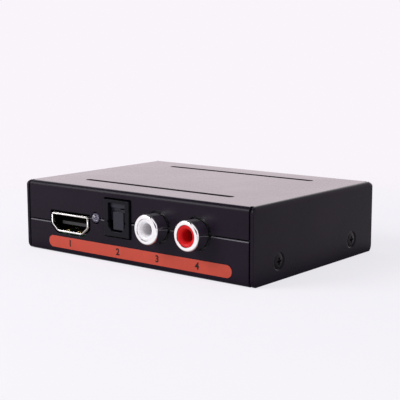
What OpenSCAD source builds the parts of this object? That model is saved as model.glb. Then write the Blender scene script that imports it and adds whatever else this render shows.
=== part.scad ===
// Audio extractor box for a video line: folded sheet case, sockets on both ends, one board inside.
// Front is -Y, +X is to the right, +Z is up; the origin is the centre of the underside.

/* [Case] */
// Outside width of the case, left to right
case_w = 83.2; // [80:0.1:110]
// Outside depth of the case, front to rear
case_d = 59.3; // [57:0.1:90]
// Outside height of the case
case_h = 20.6; // [20.2:0.1:30]
// Thickness of the folded sheet
sheet_t = 1; // [0.8:0.1:1.2]
// Inner radius of the cover's bends
cover_bend_inner_r = 0.4; // [0.2:0.1:1]
// Inner radius of the tray's bends
tray_bend_inner_r = 0.2; // [0.1:0.1:0.8]
// Gap between the front and rear flanges and the side plates
corner_gap = 0.4; // [0.2:0.05:0.6]
// Gap between the tray's side walls and the cover
wall_gap = 0.15; // [0.1:0.05:0.3]
// Radius of the side plates' lower corners
plate_corner_r = 2; // [1:0.1:3]
// Height of the tray's side walls
tray_wall_h = 8.5; // [7.6:0.1:10]
// Distance from the case's ends to the tray's side walls
tray_wall_inset = 4; // [2:0.1:6]
// Height of the seam between cover and tray, which is also the axis of the phono jacks and the LED
seam_h = 12; // [11.6:0.1:13]
// Open width of the seam
seam_gap = 0.35; // [0.2:0.05:0.6]
// Radius of the relief at the cover's top corners
relief_r = 0.5; // [0.3:0.05:0.8]

/* [Vent slots] */
// Length of a vent slot
vent_l = 54.4; // [30:0.1:64]
// Width of a vent slot
vent_w = 2; // [1:0.1:3]
// Distance from the case's front to the front slot's middle
vent_front_inset = 10.9; // [6:0.1:16]
// Distance from the case's rear to the rear slot's middle
vent_rear_inset = 9.9; // [6:0.1:16]

/* [Cover screws] */
// Thread diameter of a cover screw
cover_screw_d = 2.5; // [2:0.1:3]
// Head diameter of a cover screw
cover_head_d = 4.7; // [4:0.1:5.2]
// Length of a cover screw
cover_screw_l = 4; // [3.4:0.1:4.3]
// Distance from the case's ends to a cover screw
cover_screw_inset = 11.5; // [9:0.1:14]
// Height of a cover screw above the underside
cover_screw_h = 5.1; // [4.6:0.1:5.6]

/* [Board] */
// Thickness of the main board
board_t = 1.6; // [1.2:0.1:2]
// Height of the standoffs, from the tray's floor to the board
standoff_h = 3.8; // [3:0.1:4.2]
// Distance across the flats of a standoff
standoff_af = 5.5; // [5:0.1:6]
// Thread diameter of a board screw
board_screw_d = 3; // [2.5:0.1:3.2]
// Head diameter of a board screw
board_head_d = 5.5; // [5:0.1:6]
// Head height of a board screw
board_head_h = 2; // [1.4:0.1:2.4]
// Length of a board screw under its head
board_screw_l = 5; // [4:0.1:6]
// Distance from the case's sides to the board
board_side_inset = 4.6; // [4.5:0.1:6]
// Distance from the case's ends to the board
board_end_inset = 2.05; // [1.6:0.05:2.3]
// Distance from the board's sides to its screws
hole_side_inset = 3.5; // [3.3:0.1:5]
// Distance from the board's front edge to its front screws
hole_front_inset = 14; // [13.8:0.1:16]
// Distance from the board's rear edge to its rear screws
hole_rear_inset = 15.6; // [15.2:0.1:18]

/* [Front row] */
// Distance of the video output's middle to the left of the case's middle
video_out_offset = 23.4; // [22:0.1:26]
// Distance from the video output's lip to the LED's axis
led_space = 2.75; // [2.3:0.05:6]
// Distance from the LED's axis to the optical socket
optical_space = 3.8; // [3:0.1:6]
// Distance from the optical socket to the left phono body
phono_space = 4.8; // [1:0.1:6]
// Distance between the two phono bodies
phono_gap = 3.8; // [1:0.1:6]

/* [Rear row] */
// Distance of the video input's middle to the left of the case's middle
video_in_offset = 21.6; // [18:0.1:26]
// Distance from the video input's lip to the mode switch
switch_space = 8; // [3:0.1:12]
// Distance from the mode switch to the power jack
power_space = 8; // [3:0.1:12]

/* [Video sockets] */
// Width of the video socket's mouth
video_w = 14; // [13:0.1:15]
// Height of the video socket's mouth
video_h = 4.55; // [4.4:0.05:5]
// Width of the mouth's floor, between the slanted corners
video_floor_w = 9.7; // [9:0.1:11]
// Height of the slanted corners
video_slant_h = 1.8; // [1.2:0.1:2.4]
// Thickness of the shell
shell_t = 0.4; // [0.3:0.05:0.5]
// How far the shell stands out of the case
shell_out = 0.5; // [0.3:0.1:1]
// Length of the shell behind the case's face
shell_in = 11; // [10.6:0.1:12]
// Clearance between the shell's lip and its cut-out
shell_cut_gap = 0.55; // [0.3:0.05:0.7]
// Width of the tongue that carries the contacts
tongue_w = 10.4; // [10.1:0.1:11]
// Thickness of the tongue
tongue_t = 0.9; // [0.7:0.05:1.1]
// Distance from one contact to the next in a row
contact_pitch = 1; // [0.8:0.1:1]

/* [LED] */
// Diameter of the LED's dome
led_d = 3; // [2.6:0.1:3.2]
// How far the dome stands out of the case
led_out = 0.9; // [0.4:0.1:1.2]
// Length of the LED from its dome's tip to its flange's back
led_l = 6; // [5:0.1:7]
// Clearance between the LED and its hole
led_cut_gap = 0.2; // [0.15:0.05:0.3]

/* [Optical socket] */
// Width of the optical housing
optical_w = 9.4; // [9.2:0.1:10]
// Height of the optical housing's front
optical_h = 10.25; // [10:0.05:10.6]
// Length of the optical housing
optical_l = 13.5; // [13:0.1:14]
// How far the optical housing stands out of the case
optical_out = 0.6; // [0.2:0.1:1]
// Height of the optical housing's front above the board
optical_rise = 1.3; // [1:0.1:1.5]
// Width of the optical mouth
mouth_w = 6.2; // [5.8:0.1:6.6]
// Height of the optical mouth
mouth_h = 8; // [7.6:0.1:8.2]
// Thickness of the bar above the optical mouth
optical_roof_t = 0.85; // [0.7:0.05:1.2]
// Thickness of the optical housing's side walls
optical_wall = 1.1; // [0.9:0.1:1.3]
// Clearance between the optical housing and its cut-out
optical_cut_gap = 0.4; // [0.3:0.1:0.6]
// Thickness of the shutter flap
flap_t = 0.8; // [0.6:0.05:1]
// Diameter of the shutter's pin
flap_pin_d = 0.8; // [0.6:0.05:0.9]

/* [Phono jacks] */
// Outside diameter of the phono ring
ring_d = 8.2; // [8:0.1:8.4]
// How far the ring stands out of the case
ring_out = 4.9; // [3:0.1:9]
// Diameter of the coloured insert where it shows
insert_d = 5.8; // [5.4:0.1:6.2]
// Diameter of the hole for the plug's pin
pin_hole_d = 3.4; // [3.3:0.05:3.6]
// Diameter of the hole in the case
phono_cut_d = 9; // [8.8:0.1:9.6]
// Width of a phono body
phono_body_w = 10; // [9.4:0.1:10.4]
// Length of a phono body
phono_body_l = 9; // [8.8:0.1:9.2]

/* [Power jack] */
// Width of the power jack's body
jack_w = 9; // [8.6:0.1:10]
// Height of the power jack's body
jack_h = 11; // [10.6:0.1:11.6]
// Length of the power jack's body
jack_l = 14.2; // [13.6:0.1:14.4]
// Diameter of the power jack's bore
jack_bore_d = 6.4; // [6:0.1:6.6]
// Diameter of the power jack's pin
jack_pin_d = 2; // [1.8:0.1:2.5]
// Height of the power jack's axis above the board
jack_axis_h = 6.5; // [6.3:0.1:6.8]
// Diameter of the hole in the case for the power plug
jack_cut_d = 8; // [7.2:0.1:8.6]

/* [Mode switch] */
// Width of the switch's case
switch_w = 12.6; // [12.2:0.1:14]
// Height of the switch's case
switch_h = 6; // [5.6:0.1:6.6]
// Depth of the switch's case
switch_l = 4.6; // [4.4:0.1:5]
// Width of the knob
knob_w = 3; // [2.6:0.1:3.2]
// Height of the knob
knob_h = 2; // [1.6:0.1:2.2]
// How far the knob stands out of the case
knob_out = 2.2; // [1.5:0.1:3]
// Distance from one switch position to the next
switch_step = 2; // [1.8:0.1:2]

/* [Label] */
// Width of the strip under the ports
label_w = 67.2; // [50:0.1:76]
// Height of the strip under the ports
label_h = 3.4; // [3:0.1:4]
// Thickness of the strip
label_t = 0.15; // [0.1:0.05:0.3]
// Height of the strip's lower edge above the underside
label_rise = 1.65; // [1.2:0.05:1.8]
// Distance of the strip's middle from the case's middle
label_shift = 1.4; // [-3:0.1:3]

/* [Hidden] */
$fn = 64;

// Overrun of every cut past the faces that it goes through
cut = 0.2;
// Gap between pieces that stand next to each other without touching
near = 0.3;
// Gap round a piece that is pushed into its seat
snug = 0.03;
// Gap round a piece that slides or turns in its seat
running = 0.05;
// Gap round a lead or tag in its hole
lead_gap = 0.15;

// Case
cover_bend_r = sheet_t + cover_bend_inner_r;
tray_bend_r = sheet_t + tray_bend_inner_r;
half_w = case_w / 2;
half_d = case_d / 2;
flange_half_w = half_w - max(cover_bend_r, sheet_t + corner_gap);
tray_half_w = half_w - sheet_t - wall_gap;
tray_wall_half_l = half_d - tray_wall_inset;
collar_r = cover_screw_d * 0.9;
collar_l = sheet_t;
collar_z = -2 * sheet_t - wall_gap - collar_l;

// Board
board_z = sheet_t + standoff_h;
board_top = board_z + board_t;
board_w = case_w - 2 * board_side_inset;
board_d = case_d - 2 * board_end_inset;
hole_x = board_w / 2 - hole_side_inset;
hole_front_y = -board_d / 2 + hole_front_inset;
hole_rear_y = board_d / 2 - hole_rear_inset;
board_hole_r = board_screw_d / 2 + lead_gap;
standoff_shank_r = standoff_af * 0.37;
tail_l = 1;
tail_z = -board_t - tail_l;
lead_t = 0.5;
lead_hole_r = lead_t * 0.71 + lead_gap;

// Video sockets, seen from the case's face with the board's top at height 0
video_lip = shell_t * 0.4;
video_lip_l = shell_out;
shell_rise = 0.15;
video_floor_z = shell_rise + shell_t;
video_mid_h = board_top + video_floor_z + video_h / 2;
video_half_w = video_w / 2 + shell_t + video_lip;
tongue_z = video_floor_z + video_h * 0.33;
tongue_y = 2;
block_y = 7.6;
block_overhang = 1.2;
block_end = shell_in + block_overhang;
contact_w = 0.3;
contact_t = 0.12;
contact_foot_l = 0.9;
contacts_top = 10;
contacts_low = 9;
leg_w = 1.2;
leg_place_shares = [0.27, 0.73];
spring_w = 1.5;
spring_l = 4;
spring_lift = 0.35;
spring_t = 0.25;
spring_y = 1.2;
spring_half_pitch = 2.25;

// LED
led_r = led_d / 2;
led_flange_r = led_r * 1.27;
led_flange_l = 1;
led_back_y = led_l - led_out;
led_bend_l = 1.8;
led_bend_y = led_back_y + led_bend_l;
led_half_pitch = 1.27;

// Optical socket, seen the same way
lip_l = 1.2;
lip_y = lip_l - optical_out;
mouth_z = optical_rise + optical_h - optical_roof_t - mouth_h;
mouth_chamfer = 1.3;
notch_h = 0.7;
cavity_w = optical_w - 2 * optical_wall;
cavity_z = mouth_z - near;
cavity_top = mouth_z + mouth_h;
cavity_end = lip_y + mouth_h + near;
foot_y = board_end_inset + near;
barrel_wall = 0.2;
barrel_r = flap_pin_d / 2 + running + barrel_wall;
flap_y = lip_y + near;
hinge_y = flap_y + barrel_r;
hinge_z = cavity_top - near - barrel_r;
flap_w = cavity_w - 2 * near;
flap_z = cavity_z + 1.2 * near;
slab_t = 0.45;
slab_w = 3.9;
slab_z = mouth_z + 2 * near;
slab_h = mouth_h * 0.62;
coil_wire_r = 0.11;
coil_r = barrel_r - coil_wire_r;
coil_turns = 3;
coil_pitch = 0.65;
coil_room = coil_turns * coil_pitch + 2 * near + 2 * coil_wire_r;
coil_arm_l = 3.2;
coil_steps = 14;
coil_sides = 6;
roof_arm_z = 0.5 * (barrel_r + near);
ferrule_r = 1.3;
ferrule_z = cavity_z + (cavity_top - cavity_z) / 2;
emitter_w = 5;
emitter_wall = 1.3;
emitter_y = cavity_end + emitter_wall;
emitter_end = optical_l - optical_out;
emitter_h = 5.2;
emitter_lead_pitch = 1.9;
peg_r = 0.7;
peg_l = 1.2;

// Phono jacks, seen the same way but with the jack's axis at height 0
ring_r = ring_d / 2;
ring_wall = 0.5;
ring_fillet = 0.6;
ring_lip_l = 1.2;
ring_shoulder = 0.2;
ring_step = 0.5;
ring_tube_r = ring_r - ring_step;
ring_in = 5;
ring_end = sheet_t + ring_in;
ring_tag_w = 2;
insert_recess = 0.15;
insert_flare = 0.6;
insert_flare_l = 0.9;
insert_seat_y = sheet_t;
contact_wall = 0.4;
contact_r = pin_hole_d / 2 + near;
contact_in = 1.5;
contact_end = ring_end + contact_in;
contact_tag_w = 1;
contact_slit_l = 4;
phono_body_y = sheet_t + corner_gap;
phono_body_up = phono_body_w / 2;
phono_down = seam_h - board_top;
phono_back_t = 1.4;
phono_well_y = phono_body_y + phono_body_l - phono_back_t;

// Power jack, seen like the video sockets
jack_y = sheet_t + near;
jack_bore_l = 9.5;
jack_pin_inset = 1;
jack_pin_y = jack_y + jack_pin_inset;
jack_back_l = 1.6;
jack_pin_end = jack_y + jack_l - jack_back_l;
jack_tag_w = 2;
jack_tag_t = 0.5;
jack_slot_w = 2.4;
jack_leaf_w = 2;
jack_leaf_t = 0.3;
jack_leaf_inset = 0.9;
jack_leaf_end = jack_y + jack_bore_l - jack_leaf_inset;
jack_leaf_lift = 0.5;
jack_round_r = jack_w / 2;

// Mode switch, seen like the video sockets
switch_wall = 0.4;
switch_rise = 0.2;
switch_y = sheet_t + near;
switch_end = switch_y + switch_l;
switch_mid_z = switch_rise + switch_h / 2;
switch_travel = 2 * switch_step;
base_t = 1;
slider_y = switch_y + switch_wall + near;
slider_w = switch_w - 2 * switch_wall - 2 * near - switch_travel;
slider_h = switch_h * 0.6;
wiper_t = 0.25;
pad_t = 0.2;
pad_w = 1.2;
wiper_w = switch_step + pad_w;
wiper_y = switch_end - base_t - pad_t - near - wiper_t;
pad_h = switch_h * 0.4;
terminal_count = 4;
terminal_bend_l = 1;
terminal_bend_y = switch_end + terminal_bend_l;
switch_leg_y = board_end_inset + 2 * near + lead_gap;

// Places along the rows
video_out_x = -video_out_offset;
led_x = video_out_x + video_half_w + led_space;
optical_x = led_x + optical_space + optical_w / 2;
phono_left_x = optical_x + optical_w / 2 + phono_space + phono_body_w / 2;
phono_right_x = phono_left_x + phono_body_w + phono_gap;
video_in_x = -video_in_offset;
switch_x = video_in_x + video_half_w + switch_space + switch_w / 2;
power_x = switch_x + switch_w / 2 + power_space + jack_w / 2;

// Chips: [width, depth, height], leads a side
chip_rise = 0.1;
processor_size = [14, 14, 1.4];
processor_leads = 16;
processor_pitch = 0.8;
converter_size = [10.3, 3.9, 1.6];
converter_leads = 8;
micro_size = [12.8, 7.5, 2.3];
micro_leads = 10;
memory_size = [4.9, 3.9, 1.5];
memory_leads = 4;
wide_pitch = 1.27;
chip_lead_w = 0.4;
chip_lead_t = 0.15;
chip_lead_step = 0.5;
chip_lead_foot = 0.6;
chip_reach = 2 * (chip_lead_step + chip_lead_foot);
regulator_size = [6.5, 3.5, 1.6];
regulator_pitch = 2.3;
regulator_tab_w = 3;
crystal_size = [4.7, 11.5, 3.5];
can_r = 3.15;
can_h = 5.4;
can_base_w = 6.6;
can_base_h = 0.8;
can_groove_r = 0.35;
inductor_w = 7;
inductor_h = 3.2;
small_part = [1.6, 0.8, 0.8];
resistor_h = 0.5;
small_pitch = 2.1;
resistors_in_row = 6;
capacitors_in_row = 5;

// The board's parts stand in six columns, and down each column one behind the other
column_w = [can_base_w, processor_size[0] + chip_reach, memory_size[0], micro_size[0],
            regulator_size[0], can_base_w];
edge_stack = [can_base_w, can_base_w];
processor_stack = [small_part[1], small_part[1], processor_size[1] + chip_reach, small_part[1], small_part[1]];
crystal_stack = [crystal_size[1], memory_size[1] + chip_reach];
micro_stack = [small_part[1], converter_size[1] + chip_reach, small_part[1], micro_size[1] + chip_reach,
               small_part[1]];
regulator_stack = [regulator_size[1] + chip_reach, regulator_size[1] + chip_reach, can_base_w];
front_band_y = -half_d + max(block_end + contact_foot_l, emitter_end, phono_body_y + phono_body_l);
rear_band_y = half_d - jack_y - jack_l;
front_screw_y = hole_front_y + board_head_d / 2;
rear_screw_y = hole_rear_y - board_head_d / 2;

// Screws' cross recess
cross_share = 0.5;
cross_slot_share = 0.12;
cross_depth_share = 0.6;

// Block centred on x, between two depths and two heights
module block(w, y0, y1, z0, z1, x = 0) {
  translate([x - w / 2, y0, z0])
    cube([w, y1 - y0, z1 - z0]);
}

// Rods along each axis
module rod_x(r, x0, x1, y, z) {
  translate([x0, y, z])
    rotate([0, 90, 0])
      cylinder(r = r, h = x1 - x0);
}

module rod_y(r, y0, y1, x = 0, z = 0) {
  translate([x, y0, z])
    rotate([-90, 0, 0])
      cylinder(r = r, h = y1 - y0);
}

module rod_z(r, z0, z1, x = 0, y = 0) {
  translate([x, y, z0])
    cylinder(r = r, h = z1 - z0);
}

// Drawing in XZ given a thickness between two depths
module plate_xz(y0, y1) {
  translate([0, y1, 0])
    rotate([90, 0, 0])
      linear_extrude(y1 - y0)
        children();
}

// Drawing in YZ given a width centred on x
module plate_yz(w, x = 0) {
  translate([x - w / 2, 0, 0])
    rotate([90, 0, 90])
      linear_extrude(w)
        children();
}

// Drawing of radius and depth turned about an axis along y
module turned_y() {
  rotate([-90, 0, 0])
    rotate_extrude()
      children();
}

// Quarter of a bend, outer side towards +x and +y
module bend_2d(r) {
  difference() {
    intersection() {
      circle(r);
      square(r);
    }
    circle(r - sheet_t);
  }
}

// Frames: y = 0 is the case's face, +y goes in, z = 0 is the board's top
module at_front(x) {
  translate([x, -half_d, board_top])
    children();
}

module at_rear(x) {
  translate([x, half_d, board_top])
    rotate([0, 0, 180])
      children();
}

module at_phono(x) {
  translate([x, -half_d, seam_h])
    children();
}

// Outline of the video socket, grown outwards by g
function socket_points(g) =
  let (slant = atan2(video_slant_h, (video_w - video_floor_w) / 2))
  let (side = video_w / 2 + g)
  let (shoulder = video_slant_h - g * tan((90 - slant) / 2))
  let (floor_side = video_floor_w / 2 + g * tan(slant / 2))
  [[side, video_h + g], [-side, video_h + g], [-side, shoulder],
   [-floor_side, -g], [floor_side, -g], [side, shoulder]];

module socket_2d(g) {
  translate([0, video_floor_z])
    polygon(socket_points(g));
}

// Cut-outs in the front flanges, in the case's own heights
module front_cuts_2d() {
  translate([video_out_x, board_top])
    socket_2d(shell_t + video_lip + shell_cut_gap);
  translate([led_x, seam_h])
    circle(led_r + led_cut_gap);
  translate([optical_x - optical_w / 2 - optical_cut_gap, board_top + optical_rise - optical_cut_gap])
    square([optical_w + 2 * optical_cut_gap, optical_h + 2 * optical_cut_gap]);
  for (x = [phono_left_x, phono_right_x])
    translate([x, seam_h])
      circle(phono_cut_d / 2);
}

// Cut-outs in the rear flanges
module rear_cuts_2d() {
  translate([video_in_x, board_top])
    socket_2d(shell_t + video_lip + shell_cut_gap);
  translate([power_x, board_top + jack_axis_h])
    circle(jack_cut_d / 2);
  translate([switch_x - knob_w / 2 - switch_step - near, board_top + switch_mid_z - knob_h / 2 - near])
    square([knob_w + switch_travel + 2 * near, knob_h + 2 * near]);
}

// Part of a flange on one side of the seam; the front seam steps down left of the video output
module flange_2d(edge_z, offset_z, left_h) {
  polygon([[-flange_half_w, left_h + offset_z], [video_out_x, left_h + offset_z],
           [video_out_x, seam_h + offset_z], [flange_half_w, seam_h + offset_z],
           [flange_half_w, edge_z], [-flange_half_w, edge_z]]);
}

module side_plate_2d() {
  translate([-half_d, plate_corner_r])
    square([case_d, case_h - cover_bend_r - plate_corner_r]);
  translate([-half_d + plate_corner_r, 0])
    square([case_d - 2 * plate_corner_r, plate_corner_r]);
  for (y = [-1, 1])
    translate([y * (half_d - plate_corner_r), plate_corner_r])
      circle(plate_corner_r);
}

module vent_slot(y) {
  block(vent_l - vent_w, y - vent_w / 2, y + vent_w / 2, case_h - sheet_t - cut, case_h + cut);
  for (x = [-1, 1])
    rod_z(vent_w / 2, case_h - sheet_t - cut, case_h + cut, x * (vent_l - vent_w) / 2, y);
}

// Frames of the four cover screws: z = 0 is the case's side, +z points out
module at_cover_screws() {
  for (side = [-1, 1])
    for (y = [-half_d + cover_screw_inset, half_d - cover_screw_inset])
      translate([side * half_w, y, cover_screw_h])
        rotate([0, side * 90, 0])
          children();
}

module at_board_holes() {
  for (x = [-hole_x, hole_x])
    for (y = [hole_front_y, hole_rear_y])
      translate([x, y, 0])
        children();
}

module top_cover() {
  color([0.16, 0.14, 0.165])
    difference() {
      union() {
        block(case_w - 2 * cover_bend_r, -half_d + cover_bend_r, half_d - cover_bend_r,
              case_h - sheet_t, case_h);
        for (side = [0, 1])
          mirror([side, 0, 0]) {
            translate([half_w - sheet_t / 2, 0, 0])
              plate_yz(sheet_t)
                side_plate_2d();
            plate_xz(-half_d + cover_bend_r, half_d - cover_bend_r)
              translate([half_w - cover_bend_r, case_h - cover_bend_r])
                bend_2d(cover_bend_r);
          }
        for (side = [0, 1])
          mirror([0, side, 0])
            plate_yz(2 * flange_half_w)
              translate([-half_d + cover_bend_r, case_h - cover_bend_r])
                mirror([1, 0])
                  bend_2d(cover_bend_r);
        plate_xz(-half_d, -half_d + sheet_t)
          difference() {
            flange_2d(case_h - cover_bend_r, seam_gap / 2, video_mid_h);
            front_cuts_2d();
          }
        plate_xz(half_d - sheet_t, half_d)
          difference() {
            flange_2d(case_h - cover_bend_r, seam_gap / 2, seam_h);
            rear_cuts_2d();
          }
      }
      vent_slot(-half_d + vent_front_inset);
      vent_slot(half_d - vent_rear_inset);
      at_cover_screws() {
        rod_z(cover_screw_d / 2 + lead_gap, -sheet_t - cut, cut);
        translate([0, 0, -sheet_t])
          cylinder(r1 = cover_screw_d / 2 + lead_gap, r2 = cover_head_d / 2 + running, h = sheet_t);
      }
      for (x = [-1, 1])
        for (y = [-1, 1])
          rod_z(relief_r, case_h - sheet_t - cut, case_h + cut,
                x * (half_w - cover_bend_r), y * (half_d - cover_bend_r));
    }
}

module bottom_tray() {
  color([0.17, 0.15, 0.175])
    difference() {
      union() {
        block(2 * (tray_half_w - tray_bend_r), -half_d + tray_bend_r, half_d - tray_bend_r, 0, sheet_t);
        for (side = [0, 1])
          mirror([0, side, 0])
            block(2 * tray_half_w, tray_wall_half_l + 2 * relief_r, half_d - tray_bend_r, 0, sheet_t);
        for (side = [0, 1])
          mirror([side, 0, 0]) {
            translate([tray_half_w - sheet_t, -tray_wall_half_l, tray_bend_r])
              cube([sheet_t, 2 * tray_wall_half_l, tray_wall_h - tray_bend_r]);
            plate_xz(-tray_wall_half_l, tray_wall_half_l)
              translate([tray_half_w - tray_bend_r, tray_bend_r])
                mirror([0, 1])
                  bend_2d(tray_bend_r);
          }
        for (side = [0, 1])
          mirror([0, side, 0])
            plate_yz(2 * flange_half_w)
              translate([-half_d + tray_bend_r, tray_bend_r])
                rotate([0, 0, 180])
                  bend_2d(tray_bend_r);
        plate_xz(-half_d, -half_d + sheet_t)
          difference() {
            flange_2d(tray_bend_r, -seam_gap / 2, video_mid_h);
            front_cuts_2d();
          }
        plate_xz(half_d - sheet_t, half_d)
          difference() {
            flange_2d(tray_bend_r, -seam_gap / 2, seam_h);
            rear_cuts_2d();
          }
        at_cover_screws()
          rod_z(collar_r, collar_z, -sheet_t - wall_gap - sheet_t / 2);
      }
      at_cover_screws()
        rod_z(cover_screw_d / 2 + running, collar_z - cut, -sheet_t - wall_gap + cut);
      at_board_holes()
        rod_z(standoff_shank_r + snug, -cut, sheet_t + cut);
    }
}

// Cross recess in a head whose top is at height z
module cross_recess(head_d, z, depth) {
  slot = head_d * cross_slot_share;
  for (turn = [0, 90])
    rotate([0, 0, turn])
      block(head_d * cross_share, -slot / 2, slot / 2, z - depth, z + cut);
}

module cover_screws() {
  color([0.1, 0.095, 0.105])
    at_cover_screws()
      difference() {
        union() {
          rod_z(cover_screw_d / 2, -cover_screw_l, 0);
          translate([0, 0, -sheet_t])
            cylinder(r1 = cover_screw_d / 2, r2 = cover_head_d / 2, h = sheet_t);
        }
        cross_recess(cover_head_d, 0, sheet_t * cross_depth_share);
      }
}

module board_standoffs() {
  color([0.78, 0.68, 0.4])
    at_board_holes()
      difference() {
        union() {
          translate([0, 0, sheet_t])
            cylinder(r = standoff_af / 2 / cos(30), h = standoff_h, $fn = 6);
          rod_z(standoff_shank_r, 0, sheet_t);
        }
        rod_z(board_screw_d / 2 + running, board_top - board_screw_l - 2 * near, board_z + cut);
      }
}

module board_screws() {
  color([0.72, 0.72, 0.74])
    at_board_holes()
      difference() {
        union() {
          rod_z(board_screw_d / 2, board_top - board_screw_l, board_top);
          translate([0, 0, board_top])
            rotate_extrude()
              intersection() {
                translate([0, board_head_h / 2])
                  scale([board_head_d / board_head_h, 1])
                    circle(board_head_h / 2);
                square([board_head_d / 2, board_head_h]);
              }
          rod_z(board_head_d / 2, board_top, board_top + board_head_h / 2);
        }
        cross_recess(board_head_d, board_top + board_head_h, board_head_h * cross_depth_share);
      }
}

module port_label() {
  color([0.81, 0.33, 0.28])
    translate([label_shift, 0, label_rise + label_h / 2])
      plate_xz(-half_d - label_t, -half_d) {
        square([label_w - label_h, label_h], center = true);
        for (x = [-1, 1])
          translate([x * (label_w - label_h) / 2, 0])
            circle(label_h / 2);
      }
}

// Holes that each connector needs in the board, in its own frame
module video_board_holes() {
  for (side = [-1, 1])
    for (y = leg_place_shares * shell_in)
      block(shell_t + 2 * lead_gap, y - leg_w / 2 - lead_gap, y + leg_w / 2 + lead_gap,
            -board_t - cut, cut, side * (video_w + shell_t) / 2);
}

module optical_board_holes() {
  for (side = [-1, 1])
    rod_z(peg_r + lead_gap, -board_t - cut, cut, side * (optical_w / 2 - 2 * peg_r), foot_y + 2 * peg_r);
  for (i = [-1:1])
    rod_z(lead_hole_r, -board_t - cut, cut, i * emitter_lead_pitch, emitter_end - 3 * lead_t);
}

module phono_board_holes() {
  translate([0, 0, -phono_down]) {
    block(ring_tag_w + 2 * lead_gap, ring_end - ring_wall - lead_gap, ring_end + lead_gap,
          -board_t - cut, cut);
    block(contact_tag_w + 2 * lead_gap, contact_end - contact_wall - lead_gap, contact_end + lead_gap,
          -board_t - cut, cut);
    for (side = [-1, 1])
      rod_z(peg_r + lead_gap, -board_t - cut, cut, side * (phono_body_w / 2 - 2 * peg_r),
            phono_body_y + phono_body_l / 2);
  }
}

module led_board_holes() {
  for (side = [-1, 1])
    rod_z(lead_hole_r, -board_t - cut, cut, side * led_half_pitch, led_bend_y);
}

module jack_board_holes() {
  for (y = [jack_pin_end, jack_leaf_end])
    block(jack_tag_w + 2 * lead_gap, y - jack_tag_t - lead_gap, y + lead_gap, -board_t - cut, cut);
}

module switch_board_holes() {
  for (i = [0:terminal_count - 1])
    rod_z(lead_hole_r, -board_t - cut, cut, (i - (terminal_count - 1) / 2) * switch_step,
          terminal_bend_y - lead_t / 2);
  for (side = [-1, 1])
    block(switch_wall + 2 * lead_gap, switch_leg_y - lead_gap, switch_leg_y + leg_w + lead_gap,
          -board_t - cut, cut, side * (switch_w - switch_wall) / 2);
}

module main_board() {
  color([0.05, 0.22, 0.14])
    difference() {
      block(board_w, -board_d / 2, board_d / 2, board_z, board_top);
      at_board_holes()
        rod_z(board_hole_r, board_z - cut, board_top + cut);
      at_front(video_out_x)
        video_board_holes();
      at_rear(video_in_x)
        video_board_holes();
      at_front(optical_x)
        optical_board_holes();
      at_front(led_x)
        led_board_holes();
      at_phono(phono_left_x)
        phono_board_holes();
      at_phono(phono_right_x)
        phono_board_holes();
      at_rear(power_x)
        jack_board_holes();
      at_rear(switch_x)
        switch_board_holes();
    }
}

// Drawn shell with a flared lip, four legs and two spring tabs above and below
module video_shell() {
  difference() {
    union() {
      plate_xz(-shell_out, shell_in)
        socket_2d(shell_t);
      plate_xz(-shell_out, -shell_out + video_lip_l)
        socket_2d(shell_t + video_lip);
      for (side = [-1, 1])
        for (y = leg_place_shares * shell_in)
          block(shell_t, y - leg_w / 2, y + leg_w / 2, tail_z, video_floor_z + video_h / 2,
                side * (video_w + shell_t) / 2);
    }
    plate_xz(-shell_out - cut, shell_in + cut)
      socket_2d(0);
    for (side = [-1, 1])
      block(spring_w + 2 * near, spring_y - near, spring_y + spring_l, -cut,
            video_floor_z + video_h + shell_t + cut, side * spring_half_pitch);
  }
  for (side = [-1, 1]) {
    plate_yz(spring_w, side * spring_half_pitch)
      spring_tab_2d(video_floor_z - shell_t, 1);
    plate_yz(spring_w, side * spring_half_pitch)
      spring_tab_2d(video_floor_z + video_h + shell_t, -1);
  }
}

// Tab that rises from the shell's outer face at height z towards its inside
module spring_tab_2d(z, up) {
  root_y = spring_y + spring_l;
  root_lift = (shell_t - spring_t) / 2;
  tip_lift = shell_t + spring_lift - spring_t;
  polygon([[root_y, z + up * root_lift], [root_y, z + up * (root_lift + spring_t)],
           [spring_y + spring_l / 3, z + up * (tip_lift + spring_t)],
           [spring_y, z + up * (shell_t - spring_t / 2 + spring_t)],
           [spring_y, z + up * (shell_t - spring_t / 2)],
           [spring_y + spring_l / 3, z + up * tip_lift]]);
}

// Side view of a contact: along the tongue, out at the back, down and onto the board
module video_contact_2d(z, back) {
  polygon([[tongue_y + near, z], [back + contact_t, z], [back + contact_t, contact_t],
           [back + contact_foot_l, contact_t], [back + contact_foot_l, 0], [back, 0],
           [back, z - contact_t], [tongue_y + near, z - contact_t]]);
}

module video_contacts() {
  for (i = [0:contacts_top - 1])
    plate_yz(contact_w, (i - (contacts_top - 1) / 2) * contact_pitch)
      video_contact_2d(tongue_z + tongue_t, block_end);
  for (i = [0:contacts_low - 1])
    plate_yz(contact_w, (i - (contacts_low - 1) / 2) * contact_pitch)
      video_contact_2d(tongue_z + contact_t, block_end);
}

module video_insulator() {
  difference() {
    union() {
      block(tongue_w, tongue_y, block_y + cut, tongue_z, tongue_z + tongue_t);
      plate_xz(block_y, block_end)
        socket_2d(-running);
      block(video_w, shell_in + running, block_end, 0, video_floor_z + video_h);
    }
    video_contacts();
  }
}

module status_led() {
  color([0.86, 0.85, 0.9, 0.7])
    at_front(led_x)
      translate([0, 0, phono_down]) {
        rod_y(led_r, led_r - led_out, led_back_y);
        translate([0, led_r - led_out, 0])
          sphere(led_r);
        rod_y(led_flange_r, led_back_y - led_flange_l, led_back_y);
      }
}

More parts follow.
